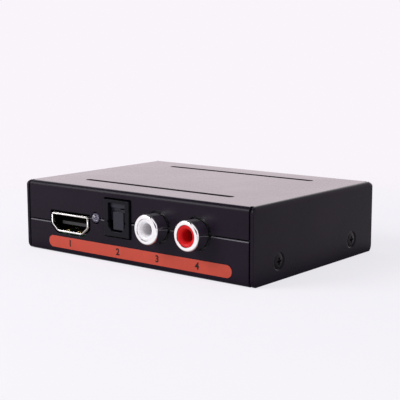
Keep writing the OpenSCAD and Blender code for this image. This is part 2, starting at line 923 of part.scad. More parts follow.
module led_leads() {
  color([0.75, 0.75, 0.77])
    at_front(led_x)
      for (side = [-1, 1])
        plate_yz(lead_t, side * led_half_pitch)
          polygon([[led_back_y, phono_down - lead_t / 2], [led_back_y, phono_down + lead_t / 2],
                   [led_bend_y + lead_t / 2, phono_down + lead_t / 2], [led_bend_y + lead_t / 2, tail_z],
                   [led_bend_y - lead_t / 2, tail_z], [led_bend_y - lead_t / 2, phono_down - lead_t / 2]]);
}

// Mouth of the optical socket: chamfered lower corners and a notch in each side
module optical_mouth_2d() {
  top = mouth_z + mouth_h;
  half = mouth_w / 2;
  polygon([[-half, top], [-half, mouth_z + mouth_chamfer], [-half + mouth_chamfer, mouth_z],
           [half - mouth_chamfer, mouth_z], [half, mouth_z + mouth_chamfer], [half, top]]);
  for (side = [-1, 1])
    translate([side * half, mouth_z + mouth_h * 0.33])
      rotate([0, 0, 45])
        square(notch_h, center = true);
}

module optical_housing() {
  color([0.13, 0.12, 0.135])
    at_front(optical_x) {
      difference() {
        union() {
          block(optical_w, -optical_out, emitter_end, optical_rise, optical_rise + optical_h);
          block(optical_w, foot_y, emitter_end, 0, optical_rise + cut);
        }
        plate_xz(-optical_out - cut, lip_y + cut)
          optical_mouth_2d();
        block(cavity_w, lip_y, cavity_end, cavity_z, cavity_top);
        rod_x(flap_pin_d / 2 + snug, -optical_w / 2 - cut, optical_w / 2 + cut, hinge_y, hinge_z);
        rod_y(ferrule_r, cavity_end - cut, emitter_y + cut, 0, ferrule_z);
        block(emitter_w + 2 * near, emitter_y, emitter_end + cut, -cut, ferrule_z + emitter_h / 2 + near);
      }
      for (side = [-1, 1])
        rod_z(peg_r, -peg_l, cut, side * (optical_w / 2 - 2 * peg_r), foot_y + 2 * peg_r);
    }
}

module optical_shutter() {
  barrel_end = flap_w / 2 - coil_room;
  color([0.2, 0.19, 0.21])
    at_front(optical_x)
      difference() {
        union() {
          block(flap_w, flap_y, flap_y + flap_t, flap_z, hinge_z - barrel_r - near);
          block(flap_w / 2 + barrel_end, flap_y, flap_y + flap_t, flap_z, hinge_z,
                (barrel_end - flap_w / 2) / 2);
          rod_x(barrel_r, -flap_w / 2, barrel_end, hinge_y, hinge_z);
          block(slab_w, flap_y - slab_t, flap_y + cut, slab_z, slab_z + slab_h);
        }
        rod_x(flap_pin_d / 2 + running, -flap_w / 2 - cut, barrel_end + cut, hinge_y, hinge_z);
      }
}

module shutter_pin() {
  color([0.8, 0.8, 0.82])
    at_front(optical_x)
      rod_x(flap_pin_d / 2, -optical_w / 2, optical_w / 2, hinge_y, hinge_z);
}

// Route of the torsion spring about its own middle: up the flap's back, round the pin, back along the roof
function coil_route() =
  let (x0 = -coil_turns * coil_pitch / 2)
  let (wound = [for (i = [0:coil_turns * coil_steps])
    let (turn = i / coil_steps)
    [x0 + turn * coil_pitch, coil_r * cos(turn * 360), coil_r * sin(turn * 360)]])
  concat([[x0, coil_r, -coil_arm_l], [x0, coil_r, -coil_arm_l / 8]], wound,
         [[-x0, coil_r, roof_arm_z / 2], [-x0, coil_r + roof_arm_z / 4, roof_arm_z],
          [-x0, coil_r + roof_arm_z, roof_arm_z + coil_wire_r],
          [-x0, coil_r + coil_arm_l, roof_arm_z + coil_wire_r]]);

function unit(v) = v / norm(v);

// Ring of points round the route's point i, square to the route
function coil_ring(route, i) =
  let (before = route[max(i - 1, 0)])
  let (after = route[min(i + 1, len(route) - 1)])
  let (along = unit(after - before))
  let (out = unit(cross(along, [1, 0, 0])))
  let (side = cross(along, out))
  [for (k = [0:coil_sides - 1])
    route[i] + coil_wire_r * (out * cos(k * 360 / coil_sides) + side * sin(k * 360 / coil_sides))];

function coil_gap(route) =
  min([for (i = [2:len(route) - coil_steps - 6]) norm(route[i + coil_steps] - route[i])]) - 2 * coil_wire_r;

module shutter_spring() {
  route = coil_route();
  count = len(route);
  points = [for (i = [0:count - 1]) each coil_ring(route, i)];
  walls = [for (i = [0:count - 2]) for (k = [0:coil_sides - 1])
    let (a = i * coil_sides + k)
    let (b = i * coil_sides + (k + 1) % coil_sides)
    each [[a, b, b + coil_sides], [a, b + coil_sides, a + coil_sides]]];
  first = [for (k = [1:coil_sides - 2]) [0, k + 1, k]];
  last = [for (k = [1:coil_sides - 2]) [(count - 1) * coil_sides, (count - 1) * coil_sides + k,
                                        (count - 1) * coil_sides + k + 1]];
  echo("least gap between the spring's turns", coil_gap(route));
  color([0.7, 0.7, 0.72])
    at_front(optical_x)
      translate([flap_w / 2 - coil_room / 2, hinge_y, hinge_z])
        polyhedron(points, concat(walls, first, last));
}

module optical_emitter() {
  color([0.45, 0.12, 0.12])
    at_front(optical_x) {
      block(emitter_w, emitter_y, emitter_end - near, ferrule_z - emitter_h / 2, ferrule_z + emitter_h / 2);
      rod_y(ferrule_r - running, emitter_y - emitter_wall / 2, emitter_y + cut, 0, ferrule_z);
    }
}

module emitter_leads() {
  color([0.75, 0.75, 0.77])
    at_front(optical_x)
      for (i = [-1:1])
        block(lead_t, emitter_end - 3.5 * lead_t, emitter_end - 2.5 * lead_t, tail_z,
              ferrule_z - emitter_h / 2, i * emitter_lead_pitch);
}

module phono_body() {
  difference() {
    block(phono_body_w, phono_body_y, phono_body_y + phono_body_l, -phono_down, phono_body_up);
    rod_y(ring_tube_r + snug, phono_body_y - cut, phono_well_y);
    block(ring_tag_w + 2 * lead_gap, ring_end - ring_wall - lead_gap, contact_end + lead_gap,
          -phono_down - cut, 0);
  }
  for (side = [-1, 1])
    rod_z(peg_r, -phono_down - peg_l, -phono_down + cut, side * (phono_body_w / 2 - 2 * peg_r),
          phono_body_y + phono_body_l / 2);
}

// Plated barrel with a rounded front ring, and the tag that earths it
module phono_ring() {
  turned_y() {
    translate([insert_d / 2 + running, -ring_out])
      square([ring_r - ring_fillet - insert_d / 2 - running, ring_lip_l]);
    translate([insert_d / 2 + running, -ring_out + ring_fillet])
      square([ring_r - insert_d / 2 - running, ring_lip_l - ring_fillet]);
    translate([ring_r - ring_fillet, -ring_out + ring_fillet])
      circle(ring_fillet);
    translate([ring_tube_r - ring_wall, -ring_out + ring_fillet])
      square([ring_r - ring_tube_r + ring_wall, ring_out - ring_fillet - ring_shoulder]);
    translate([ring_tube_r - ring_wall, -ring_out + ring_lip_l / 2])
      square([ring_wall, ring_end + ring_out - ring_lip_l / 2]);
  }
  block(ring_tag_w, ring_end - ring_wall, ring_end, -phono_down + tail_z, -ring_tube_r + ring_wall / 2);
}

module phono_insert() {
  front = -ring_out + insert_recess;
  sleeve_r = ring_tube_r - ring_wall - running;
  hole_r = pin_hole_d / 2;
  seat_r = contact_r + contact_wall + running;
  step_y = ring_lip_l - ring_out + snug;
  back = ring_end - ring_wall - near;
  turned_y()
    polygon([[hole_r + insert_flare, front], [insert_d / 2, front], [insert_d / 2, step_y],
             [sleeve_r, step_y], [sleeve_r, back], [seat_r, back],
             [seat_r, insert_seat_y], [hole_r, insert_seat_y], [hole_r, front + insert_flare_l]]);
}

module phono_contact() {
  difference() {
    rod_y(contact_r + contact_wall, insert_seat_y + snug, contact_end);
    rod_y(contact_r, insert_seat_y - cut, contact_end - contact_wall);
    block(contact_wall, insert_seat_y - cut, insert_seat_y + contact_slit_l, 0, 2 * contact_r);
  }
  block(contact_tag_w, contact_end - contact_wall, contact_end, -phono_down + tail_z, -contact_r);
}

module power_jack_body() {
  color([0.09, 0.09, 0.1])
    at_rear(power_x)
      difference() {
        union() {
          block(jack_w, jack_y, jack_y + jack_l, 0, jack_h - jack_round_r);
          rod_y(jack_round_r, jack_y, jack_y + jack_l, 0, jack_h - jack_round_r);
        }
        rod_y(jack_bore_d / 2, jack_y - cut, jack_y + jack_bore_l, 0, jack_axis_h);
        rod_y(jack_pin_d / 2 + snug, jack_y, jack_pin_end + snug, 0, jack_axis_h);
        block(jack_slot_w, jack_y + 3 * near, jack_leaf_end + lead_gap, -cut, jack_axis_h);
        block(jack_tag_w + 2 * lead_gap, jack_pin_end - jack_tag_t - lead_gap, jack_y + jack_l + cut,
              -cut, jack_axis_h + jack_pin_d);
      }
}

module power_jack_pin() {
  color([0.8, 0.8, 0.82])
    at_rear(power_x) {
      rod_y(jack_pin_d / 2, jack_pin_y + jack_pin_d / 2, jack_pin_end, 0, jack_axis_h);
      translate([0, jack_pin_y + jack_pin_d / 2, jack_axis_h])
        sphere(jack_pin_d / 2);
      block(jack_tag_w, jack_pin_end - jack_tag_t, jack_pin_end, tail_z, jack_axis_h + jack_pin_d / 2);
    }
}

// Leaf that presses on the plug's sleeve from below
module power_jack_spring() {
  low = jack_axis_h - jack_bore_d / 2 - jack_leaf_t;
  color([0.8, 0.8, 0.82])
    at_rear(power_x) {
      block(jack_leaf_w, jack_leaf_end - jack_tag_t, jack_leaf_end, tail_z, low);
      plate_yz(jack_leaf_w)
        polygon([[jack_leaf_end, low], [jack_leaf_end, low - jack_leaf_t],
                 [jack_y + jack_bore_l / 3, low + jack_leaf_lift - jack_leaf_t],
                 [jack_y + 4 * near, low - jack_leaf_t], [jack_y + 4 * near, low],
                 [jack_y + jack_bore_l / 3, low + jack_leaf_lift]]);
    }
}

module mode_switch_case() {
  color([0.76, 0.76, 0.78])
    at_rear(switch_x) {
      difference() {
        block(switch_w, switch_y, switch_end, switch_rise, switch_rise + switch_h);
        block(switch_w - 2 * switch_wall, switch_y + switch_wall, switch_end + cut,
              switch_rise + switch_wall, switch_rise + switch_h - switch_wall);
        block(knob_w + switch_travel + 2 * near, switch_y - cut, switch_y + switch_wall + cut,
              switch_mid_z - knob_h / 2 - near, switch_mid_z + knob_h / 2 + near);
      }
      for (side = [-1, 1])
        block(switch_wall, switch_leg_y, switch_leg_y + leg_w, tail_z, switch_mid_z,
              side * (switch_w - switch_wall) / 2);
    }
}

// Four terminals: a pad each, a stem through the base, then down through the board
module switch_terminals() {
  front = switch_end - base_t - pad_t;
  for (i = [0:terminal_count - 1])
    translate([(i - (terminal_count - 1) / 2) * switch_step, 0, 0]) {
      block(pad_w, front, front + pad_t, switch_mid_z - pad_h / 2, switch_mid_z + pad_h / 2);
      plate_yz(lead_t)
        polygon([[front, switch_mid_z - lead_t / 2], [front, switch_mid_z + lead_t / 2],
                 [terminal_bend_y, switch_mid_z + lead_t / 2], [terminal_bend_y, tail_z],
                 [terminal_bend_y - lead_t, tail_z], [terminal_bend_y - lead_t, switch_mid_z - lead_t / 2]]);
    }
}

module mode_switch_base() {
  color([0.3, 0.17, 0.1])
    at_rear(switch_x)
      difference() {
        block(switch_w - 2 * switch_wall - 2 * running, switch_end - base_t, switch_end,
              switch_rise + switch_wall + running, switch_rise + switch_h - switch_wall - running);
        switch_terminals();
      }
}

module mode_switch_terminals() {
  color([0.82, 0.8, 0.7])
    at_rear(switch_x)
      switch_terminals();
}

module mode_switch_knob() {
  color([0.1, 0.1, 0.11])
    at_rear(switch_x) {
      block(knob_w, -knob_out, slider_y + cut, switch_mid_z - knob_h / 2, switch_mid_z + knob_h / 2);
      block(slider_w, slider_y, wiper_y, switch_mid_z - slider_h / 2,
            switch_mid_z + slider_h / 2);
    }
}

module mode_switch_wiper() {
  color([0.82, 0.8, 0.7])
    at_rear(switch_x)
      block(wiper_w, wiper_y, wiper_y + wiper_t, switch_mid_z - pad_h / 2,
            switch_mid_z + pad_h / 2);
}

// Middle of piece i of a list of lengths, spread between two bounds with even gaps
function sum_to(lengths, i) = i == 0 ? 0 : sum_to(lengths, i - 1) + lengths[i - 1];

function spread(low, high, lengths, i) =
  let (gap = (high - low - sum_to(lengths, len(lengths))) / (len(lengths) + 1))
  low + sum_to(lengths, i) + lengths[i] / 2 + (i + 1) * gap;

// Spot of piece i in a column's stack
function spot(column, stack, i) =
  [spread(-board_w / 2, board_w / 2, column_w, column), spread(front_band_y, rear_band_y, stack, i)];

function edge_spot(column, i) =
  [spread(-board_w / 2, board_w / 2, column_w, column), spread(front_screw_y, rear_screw_y, edge_stack, i)];

processor_spot = spot(1, processor_stack, 2);
crystal_spot = spot(2, crystal_stack, 0);
memory_spot = spot(2, crystal_stack, 1);
converter_spot = spot(3, micro_stack, 1);
micro_spot = spot(3, micro_stack, 3);
regulator_spots = [spot(4, regulator_stack, 0), spot(4, regulator_stack, 1)];
can_spots = [edge_spot(0, 0), edge_spot(0, 1), spot(4, regulator_stack, 2), edge_spot(5, 0), edge_spot(5, 1)];
resistor_spots = [spot(1, processor_stack, 1), spot(1, processor_stack, 3), spot(3, micro_stack, 2)];
capacitor_spots = [spot(1, processor_stack, 0), spot(1, processor_stack, 4), spot(3, micro_stack, 0),
                   spot(3, micro_stack, 4)];
inductor_spot = [switch_x + (switch_w + power_space) / 2, half_d - jack_y - jack_l / 2];

module at_spot(spot) {
  translate([spot[0], spot[1], board_top])
    children();
}

module chip_body(size) {
  block(size[0], -size[1] / 2, size[1] / 2, chip_rise, size[2]);
}

// One row of bent leads along the +y side of a chip
module lead_row(size, count, pitch, lead_w) {
  edge = size[1] / 2;
  mid = size[2] / 2;
  for (i = [0:count - 1])
    plate_yz(lead_w, (i - (count - 1) / 2) * pitch)
      polygon([[edge, mid], [edge + chip_lead_step, mid], [edge + chip_lead_step, chip_lead_t],
               [edge + chip_lead_step + chip_lead_foot, chip_lead_t],
               [edge + chip_lead_step + chip_lead_foot, 0], [edge + chip_lead_step - chip_lead_t, 0],
               [edge + chip_lead_step - chip_lead_t, mid - chip_lead_t], [edge, mid - chip_lead_t]]);
}

module lead_rows(size, count, pitch, lead_w) {
  for (turn = [0, 180])
    rotate([0, 0, turn])
      lead_row(size, count, pitch, lead_w);
}

module video_processor() {
  color([0.08, 0.08, 0.09])
    at_spot(processor_spot)
      chip_body(processor_size);
}

module audio_converter_chip() {
  color([0.08, 0.08, 0.09])
    at_spot(converter_spot)
      chip_body(converter_size);
}

module microcontroller() {
  color([0.08, 0.08, 0.09])
    at_spot(micro_spot)
      chip_body(micro_size);
}

module memory_chip() {
  color([0.08, 0.08, 0.09])
    at_spot(memory_spot)
      chip_body(memory_size);
}

module chip_leads() {
  color([0.75, 0.75, 0.77]) {
    at_spot(processor_spot)
      for (turn = [0, 90])
        rotate([0, 0, turn])
          lead_rows(processor_size, processor_leads, processor_pitch, chip_lead_w);
    at_spot(converter_spot)
      lead_rows(converter_size, converter_leads, wide_pitch, chip_lead_w);
    at_spot(micro_spot)
      lead_rows(micro_size, micro_leads, wide_pitch, chip_lead_w);
    at_spot(memory_spot)
      lead_rows(memory_size, memory_leads, wide_pitch, chip_lead_w);
    for (spot = regulator_spots)
      at_spot(spot) {
        lead_row(regulator_size, 3, regulator_pitch, 2 * chip_lead_w);
        rotate([0, 0, 180])
          lead_row(regulator_size, 1, regulator_pitch, regulator_tab_w);
      }
  }
}

module voltage_regulators() {
  color([0.08, 0.08, 0.09])
    for (spot = regulator_spots)
      at_spot(spot)
        chip_body(regulator_size);
}

module crystal_can() {
  crystal_w = crystal_size[0];
  straight = crystal_size[1] - crystal_w;
  color([0.78, 0.78, 0.8])
    at_spot(crystal_spot) {
      block(crystal_w, -straight / 2, straight / 2, 0, crystal_size[2]);
      for (y = [-1, 1])
        rod_z(crystal_w / 2, 0, crystal_size[2], 0, y * straight / 2);
    }
}

module capacitor_cans() {
  color([0.8, 0.8, 0.82])
    for (spot = can_spots)
      at_spot(spot)
        difference() {
          rod_z(can_r, can_base_h, can_base_h + can_h);
          rotate_extrude()
            translate([can_r, can_base_h + 3 * can_groove_r])
              circle(can_groove_r);
        }
}

module capacitor_bases() {
  half = can_base_w / 2;
  corner = can_base_w / 6;
  color([0.1, 0.1, 0.11])
    for (spot = can_spots)
      at_spot(spot)
        linear_extrude(can_base_h)
          polygon([[-half, -half], [half - corner, -half], [half, -half + corner],
                   [half, half - corner], [half - corner, half], [-half, half]]);
}

module power_inductor() {
  color([0.2, 0.2, 0.21])
    at_spot(inductor_spot)
      difference() {
        block(inductor_w, -inductor_w / 2, inductor_w / 2, 0, inductor_h);
        rod_z(inductor_w * 0.36, inductor_h - 2 * near, inductor_h + cut);
      }
}

module small_row(spot, count, height) {
  at_spot(spot)
    for (i = [0:count - 1])
      block(small_part[0] / 2, -small_part[0] / 2, small_part[0] / 2, 0, height,
            (i - (count - 1) / 2) * small_pitch);
}

module chip_capacitors() {
  color([0.62, 0.5, 0.38])
    for (spot = capacitor_spots)
      small_row(spot, capacitors_in_row, small_part[2]);
}

module chip_resistors() {
  color([0.12, 0.12, 0.13])
    for (spot = resistor_spots)
      small_row(spot, resistors_in_row, resistor_h);
}

module video_shell_colour() {
  color([0.82, 0.82, 0.84])
    children();
}

module video_black() {
  color([0.07, 0.07, 0.08])
    children();
}

module video_gold() {
  color([0.85, 0.68, 0.35])
    children();
}

module video_out_shell() {
  video_shell_colour()
    at_front(video_out_x)
      video_shell();
}

module video_out_insulator() {
  video_black()
    at_front(video_out_x)
      video_insulator();
}

module video_out_contacts() {
  video_gold()
    at_front(video_out_x)
      video_contacts();
}

module video_in_shell() {
  video_shell_colour()
    at_rear(video_in_x)
      video_shell();
}

module video_in_insulator() {
  video_black()
    at_rear(video_in_x)
      video_insulator();
}

module video_in_contacts() {
  video_gold()
    at_rear(video_in_x)
      video_contacts();
}

module phono_left_body() {
  color([0.1, 0.1, 0.11])
    at_phono(phono_left_x)
      phono_body();
}

module phono_left_ring() {
  color([0.9, 0.9, 0.92])
    at_phono(phono_left_x)
      phono_ring();
}

module phono_left_insert() {
  color([0.96, 0.96, 0.96])
    at_phono(phono_left_x)
      phono_insert();
}

module phono_left_contact() {
  color([0.78, 0.78, 0.8])
    at_phono(phono_left_x)
      phono_contact();
}

module phono_right_body() {
  color([0.1, 0.1, 0.11])
    at_phono(phono_right_x)
      phono_body();
}

module phono_right_ring() {
  color([0.9, 0.9, 0.92])
    at_phono(phono_right_x)
      phono_ring();
}

module phono_right_insert() {
  color([0.86, 0.16, 0.14])
    at_phono(phono_right_x)
      phono_insert();
}

module phono_right_contact() {
  color([0.78, 0.78, 0.8])
    at_phono(phono_right_x)
      phono_contact();
}

top_cover();
bottom_tray();
cover_screws();
board_standoffs();
board_screws();
port_label();
main_board();
video_out_shell();
video_out_insulator();
video_out_contacts();
video_in_shell();
video_in_insulator();
video_in_contacts();
status_led();
led_leads();
optical_housing();
optical_shutter();
shutter_pin();
shutter_spring();
optical_emitter();
emitter_leads();
phono_left_body();
phono_left_ring();
phono_left_insert();
phono_left_contact();
phono_right_body();
phono_right_ring();
phono_right_insert();
phono_right_contact();
power_jack_body();
power_jack_pin();
power_jack_spring();
mode_switch_case();
mode_switch_base();
mode_switch_terminals();
mode_switch_knob();
mode_switch_wiper();
video_processor();
audio_converter_chip();
microcontroller();
memory_chip();
chip_leads();
voltage_regulators();
crystal_can();
capacitor_cans();
capacitor_bases();
power_inductor();
chip_capacitors();
chip_resistors();
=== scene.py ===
# Small audio box: a folded sheet case with sockets on both ends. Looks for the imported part.
# Sizes are in mm and turned into metres where an operator is called. Front is -Y, +X is to the right.
import math

import bmesh
import bpy
from mathutils import Matrix, Vector


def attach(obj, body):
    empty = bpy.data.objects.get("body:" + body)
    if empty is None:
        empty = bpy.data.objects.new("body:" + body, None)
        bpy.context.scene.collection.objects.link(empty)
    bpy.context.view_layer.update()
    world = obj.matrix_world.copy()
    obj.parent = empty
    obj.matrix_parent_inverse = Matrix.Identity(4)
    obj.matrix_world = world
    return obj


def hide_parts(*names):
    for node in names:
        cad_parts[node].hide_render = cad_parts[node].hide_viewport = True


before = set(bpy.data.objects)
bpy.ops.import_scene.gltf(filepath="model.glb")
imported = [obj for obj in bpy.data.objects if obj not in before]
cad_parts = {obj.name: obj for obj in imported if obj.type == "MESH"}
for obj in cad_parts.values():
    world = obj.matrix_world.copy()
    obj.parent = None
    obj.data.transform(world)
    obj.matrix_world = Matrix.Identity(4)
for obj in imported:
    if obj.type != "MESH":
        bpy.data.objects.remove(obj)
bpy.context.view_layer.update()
MM = 0.001
FRONT, REAR = -1, 1
BOARD_TOP = 6.4
LEG_LOW = BOARD_TOP - 2.6

# Case: the two folded sheets, the seam between them, the vents, the screws and the label
HALF_W, HALF_D, HEIGHT, SHEET = 41.6, 29.65, 20.6, 1.0
COVER_BEND, TRAY_BEND, BEND_STEPS, BEND_RELIEF = 1.4, 1.2, 6, 0.47
FLANGE, TRAY_HALF_W, TRAY_WALL_L, TRAY_WALL_H, TRAY_NOTCH = 40.2, 40.45, 25.65, 8.5, 1.0
SEAM, SEAM_GAP, SEAM_LEFT = 12.0, 0.35, 9.225
COVER_LOW, TRAY_HIGH = SEAM + SEAM_GAP / 2, SEAM - SEAM_GAP / 2
COVER_LOW_LEFT, TRAY_HIGH_LEFT = SEAM_LEFT + SEAM_GAP / 2, SEAM_LEFT - SEAM_GAP / 2
VENT_LENGTH, VENT_WIDTH, VENT_FRONT_IN, VENT_REAR_IN = 54.4, 2.0, 10.9, 9.9
SCREW_Y, SCREW_Z, SCREW_HOLE_R = 18.15, 5.1, 1.3
STANDOFF_X, STANDOFF_Y, STANDOFF_R = 33.5, (-13.6, 12.0), 2.065
LABEL_LENGTH, LABEL_LOW, LABEL_HIGH, LABEL_THICK, NUMBER_SIZE = 67.2, 1.65, 5.05, 0.15, 2.6

# How far a cutter starts outside a face of the case, and how deep it goes
OUTSIDE, THROUGH = -1, 2.2

# Middles of the sockets along the two ends
VIDEO_OUT_X, LED_X, OPTICAL_X, PHONO_LEFT_X, PHONO_RIGHT_X = -23.4, -13.09, -4.59, 9.91, 23.71
VIDEO_IN_X, SWITCH_X, POWER_X = -21.6, 0.26, 19.06

# Sizes of the sockets
VIDEO_HALF_W, VIDEO_HALF_FLOOR, VIDEO_HIGH, VIDEO_SLANT = 7.0, 4.85, 4.55, 1.8
VIDEO_LOW, VIDEO_DEEP, VIDEO_WALL, VIDEO_ROOM = BOARD_TOP + 0.55, 11, 0.4, 1.11
TAB_X, TAB_W, TAB_OUT, TAB_IN = 2.25, 1.5, 1.2, 5.2
LED_R, LED_FLANGE_R, LED_HOLE_R, LED_LEAD_X, LEAD_HALF = 1.5, 1.9, 1.7, 1.27, 0.25
OPTICAL_W, OPTICAL_OUT, OPTICAL_DEEP, OPTICAL_LOW, OPTICAL_HIGH = 9.4, 0.6, 12.9, BOARD_TOP + 1.3, 17.95
OPTICAL_ROOM, MOUTH_W, MOUTH_IN, MOUTH_LOW, MOUTH_HIGH = 0.4, 6.2, 0.8, 9.1, 17.1
NOTCH_W, NOTCH_LOW, NOTCH_HIGH = 0.7, 11.39, 12.09
FLAP_W, FLAP_IN, FLAP_BACK, FLAP_LOW, FLAP_HIGH = 6.6, 0.9, 1.7, 9.16, 15.2
HINGE_IN, HINGE_Z, EAR_W = 1.55, 16.15, 3.83
PHONO_R, PHONO_OUT, PHONO_LIP_R, PHONO_BORE_R, PHONO_HOLE_R = 4.1, 4.9, 0.65, 1.7, 4.5
SWITCH_W, SWITCH_DEEP, SWITCH_LOW, SWITCH_HIGH, SWITCH_WALL = 12.6, 5.9, BOARD_TOP + 0.2, BOARD_TOP + 6.2, 0.4
KNOB_Z, KNOB_SLOT_W, KNOB_SLOT_HALF = BOARD_TOP + 3.2, 7.6, 1.3
POWER_W, POWER_IN, POWER_DEEP, POWER_HIGH = 9, 1.3, 15.5, BOARD_TOP + 11
POWER_Z, POWER_BORE_R, POWER_PIN_R, POWER_HOLE_R = BOARD_TOP + 6.5, 3.2, 1.0, 4.0


# Modelling in code. Points that lie closer than this are one
DOUBLES = 0.0005


def clear():
    """Object mode, with nothing selected"""
    if bpy.context.object and bpy.context.object.mode != "OBJECT":
        bpy.ops.object.mode_set(mode="OBJECT")
    bpy.ops.object.select_all(action="DESELECT")


def take(piece):
    clear()
    piece.select_set(True)
    bpy.context.view_layer.objects.active = piece
    return piece


def settle(name):
    """Name the new primitive and put its place into its mesh"""
    piece = bpy.context.object
    piece.name = piece.data.name = name
    bpy.ops.object.transform_apply(location=True, rotation=True, scale=True)
    return piece


def block(name, width, y0, y1, z0, z1, x=0.0):
    clear()
    bpy.ops.mesh.primitive_cube_add(
        size=1, location=(x * MM, (y0 + y1) / 2 * MM, (z0 + z1) / 2 * MM),
        scale=(width * MM, (y1 - y0) * MM, (z1 - z0) * MM))
    return settle(name)


def deep(end, along):
    """y of a place that lies so far in from the front or the rear face"""
    return end * (HALF_D - along)


def end_block(name, end, x, width, in0, in1, z0, z1):
    y0, y1 = sorted((deep(end, in0), deep(end, in1)))
    return block(name, width, y0, y1, z0, z1, x)


def choose(piece, kind, test=lambda c, n: True):
    """Edit mode, with the vertices, edges or faces picked whose middle in mm and normal pass the test"""
    take(piece)
    bpy.ops.object.mode_set(mode="EDIT")
    bpy.ops.mesh.select_mode(type=kind)
    bpy.ops.mesh.select_all(action="DESELECT")
    mesh = bmesh.from_edit_mesh(piece.data)
    for item in {"VERT": mesh.verts, "EDGE": mesh.edges, "FACE": mesh.faces}[kind]:
        if kind == "VERT":
            middle, normal = item.co, item.normal
        elif kind == "EDGE":
            middle = (item.verts[0].co + item.verts[1].co) / 2
            normal = (item.verts[1].co - item.verts[0].co).normalized()
        else:
            middle, normal = item.calc_center_median(), item.normal
        item.select_set(bool(test(middle / MM, normal)))
    mesh.select_flush_mode()
    bmesh.update_edit_mesh(piece.data)


def near(a, b, room=0.02):
    return abs(a - b) < room


def draw_out(x=0.0, y=0.0, z=0.0):
    bpy.ops.mesh.extrude_region_move(TRANSFORM_OT_translate={"value": (x * MM, y * MM, z * MM)})


def shift(x=0.0, y=0.0, z=0.0):
    bpy.ops.transform.translate(value=(x * MM, y * MM, z * MM))


def close_up(piece):
    """Merge doubles and turn the faces outwards"""
    choose(piece, "VERT")
    bpy.ops.mesh.remove_doubles(threshold=DOUBLES * MM)
    bpy.ops.mesh.normals_make_consistent(inside=False)
    return piece


def turned(name, centre, axis, profile, sides=48):
    """A profile of radius and depth, drawn point by point and spun round its axis"""
    along = Vector(axis)
    out = Vector((0, 0, 1)) if abs(along.z) < 0.5 else Vector((1, 0, 0))
    points = [(Vector(centre) + along * depth + out * radius) * MM for radius, depth in profile]
    clear()
    bpy.ops.mesh.primitive_plane_add(size=MM, location=points[0])
    piece = settle(name)
    choose(piece, "VERT")
    bpy.ops.mesh.merge(type="CENTER")
    for here, there in zip(points, points[1:]):
        bpy.ops.mesh.extrude_region_move(TRANSFORM_OT_translate={"value": there - here})
    bpy.ops.mesh.select_all(action="SELECT")
    bpy.ops.mesh.spin(steps=sides, angle=2 * math.pi, center=Vector(centre) * MM, axis=axis)
    return close_up(piece)


def arc(radius, depth, r, start, stop, steps=5):
    """Points of a rounding in a profile, in degrees from outwards towards depth"""
    turns = [math.radians(start + (stop - start) * i / steps) for i in range(steps + 1)]
    return [(radius + r * math.cos(a), depth + r * math.sin(a)) for a in turns]


def rod(radius, start, end):
    """Profile of a plain round rod"""
    return [(0, start), (radius, start), (radius, end), (0, end)]


def apply(piece, kind, **values):
    """Put a modifier with these values on the piece and apply it"""
    take(piece)
    bpy.ops.object.modifier_add(type=kind)
    made = piece.modifiers[-1]
    for key, value in values.items():
        setattr(made, key, value)
    bpy.ops.object.modifier_apply(modifier=made.name)


def cut_away(piece, *cutters, keep=False):
    """Cut the piece by each cutter, and remove the cutters unless they are kept for another piece"""
    for cutter in cutters:
        apply(piece, "BOOLEAN", object=cutter, operation="DIFFERENCE", solver="EXACT")
        if not keep:
            bpy.data.objects.remove(cutter)


def add_to(piece, *others):
    """Make solids one with the piece"""
    for other in others:
        apply(piece, "BOOLEAN", object=other, operation="UNION", solver="EXACT")
        bpy.data.objects.remove(other)


def joined(piece, *others):
    take(piece)
    for other in others:
        other.select_set(True)
    bpy.ops.object.join()
    return piece


def copied(piece, name, x=0.0, y=0.0, half_turn=False, flip=False):
    """A copy with its own mesh, turned or mirrored if asked, and moved"""
    take(piece)
    bpy.ops.object.duplicate(linked=False)
    copy = bpy.context.object
    copy.name = copy.data.name = name
    if half_turn:
        bpy.ops.transform.rotate(value=math.pi, orient_axis="Z", center_override=(0, 0, 0))
    if flip:
        bpy.ops.transform.resize(value=(-1, 1, 1), center_override=(0, 0, 0))
    shift(x, y)
    bpy.ops.object.transform_apply(location=True, rotation=True, scale=True)
    if flip:
        close_up(copy)
    return copy


def soften(piece, width, steps=2, angle=38):
    """Round every edge by a small bevel, and shade the flats flat"""
    take(piece)
    bpy.ops.object.shade_smooth()
    apply(piece, "BEVEL", width=width * MM, segments=steps, limit_method="ANGLE",
          angle_limit=math.radians(angle), use_clamp_overlap=False, miter_outer="MITER_ARC")
    apply(piece, "WEIGHTED_NORMAL", keep_sharp=True, weight=100)
    return piece


def smooth_below(piece, angle):
    """Shade a turned piece smooth, but for edges sharper than this angle"""
    take(piece)
    bpy.ops.object.shade_smooth_by_angle(angle=math.radians(angle))


def trim(piece, half_x, half_y, high):
    """Press back any point that a bevel left proud of the sheet's own faces"""
    for axis, limit, side in ((0, half_x, 1), (0, half_x, -1), (1, half_y, 1), (1, half_y, -1), (2, high, 1)):
        choose(piece, "VERT", lambda c, n: c[axis] * side > limit + DOUBLES)
        flat = [0.0 if i == axis else 1.0 for i in range(3)]
        plane = [side * limit * MM if i == axis else 0.0 for i in range(3)]
        if any(v.select for v in bmesh.from_edit_mesh(piece.data).verts):
            bpy.ops.transform.resize(value=flat, center_override=plane)


# Nodes that the effects and the finishes are built from
def effect(name, inputs, *outputs):
    """A node group with named values in and masks out"""
    tree = bpy.data.node_groups.new(name, "ShaderNodeTree")
    for label, value in inputs.items():
        socket = tree.interface.new_socket(name=label, in_out="INPUT", socket_type="NodeSocketFloat")
        socket.default_value = value
    for label in outputs:
        tree.interface.new_socket(name=label, in_out="OUTPUT", socket_type="NodeSocketFloat")
    return tree, tree.nodes.new("NodeGroupInput").outputs, tree.nodes.new("NodeGroupOutput").inputs


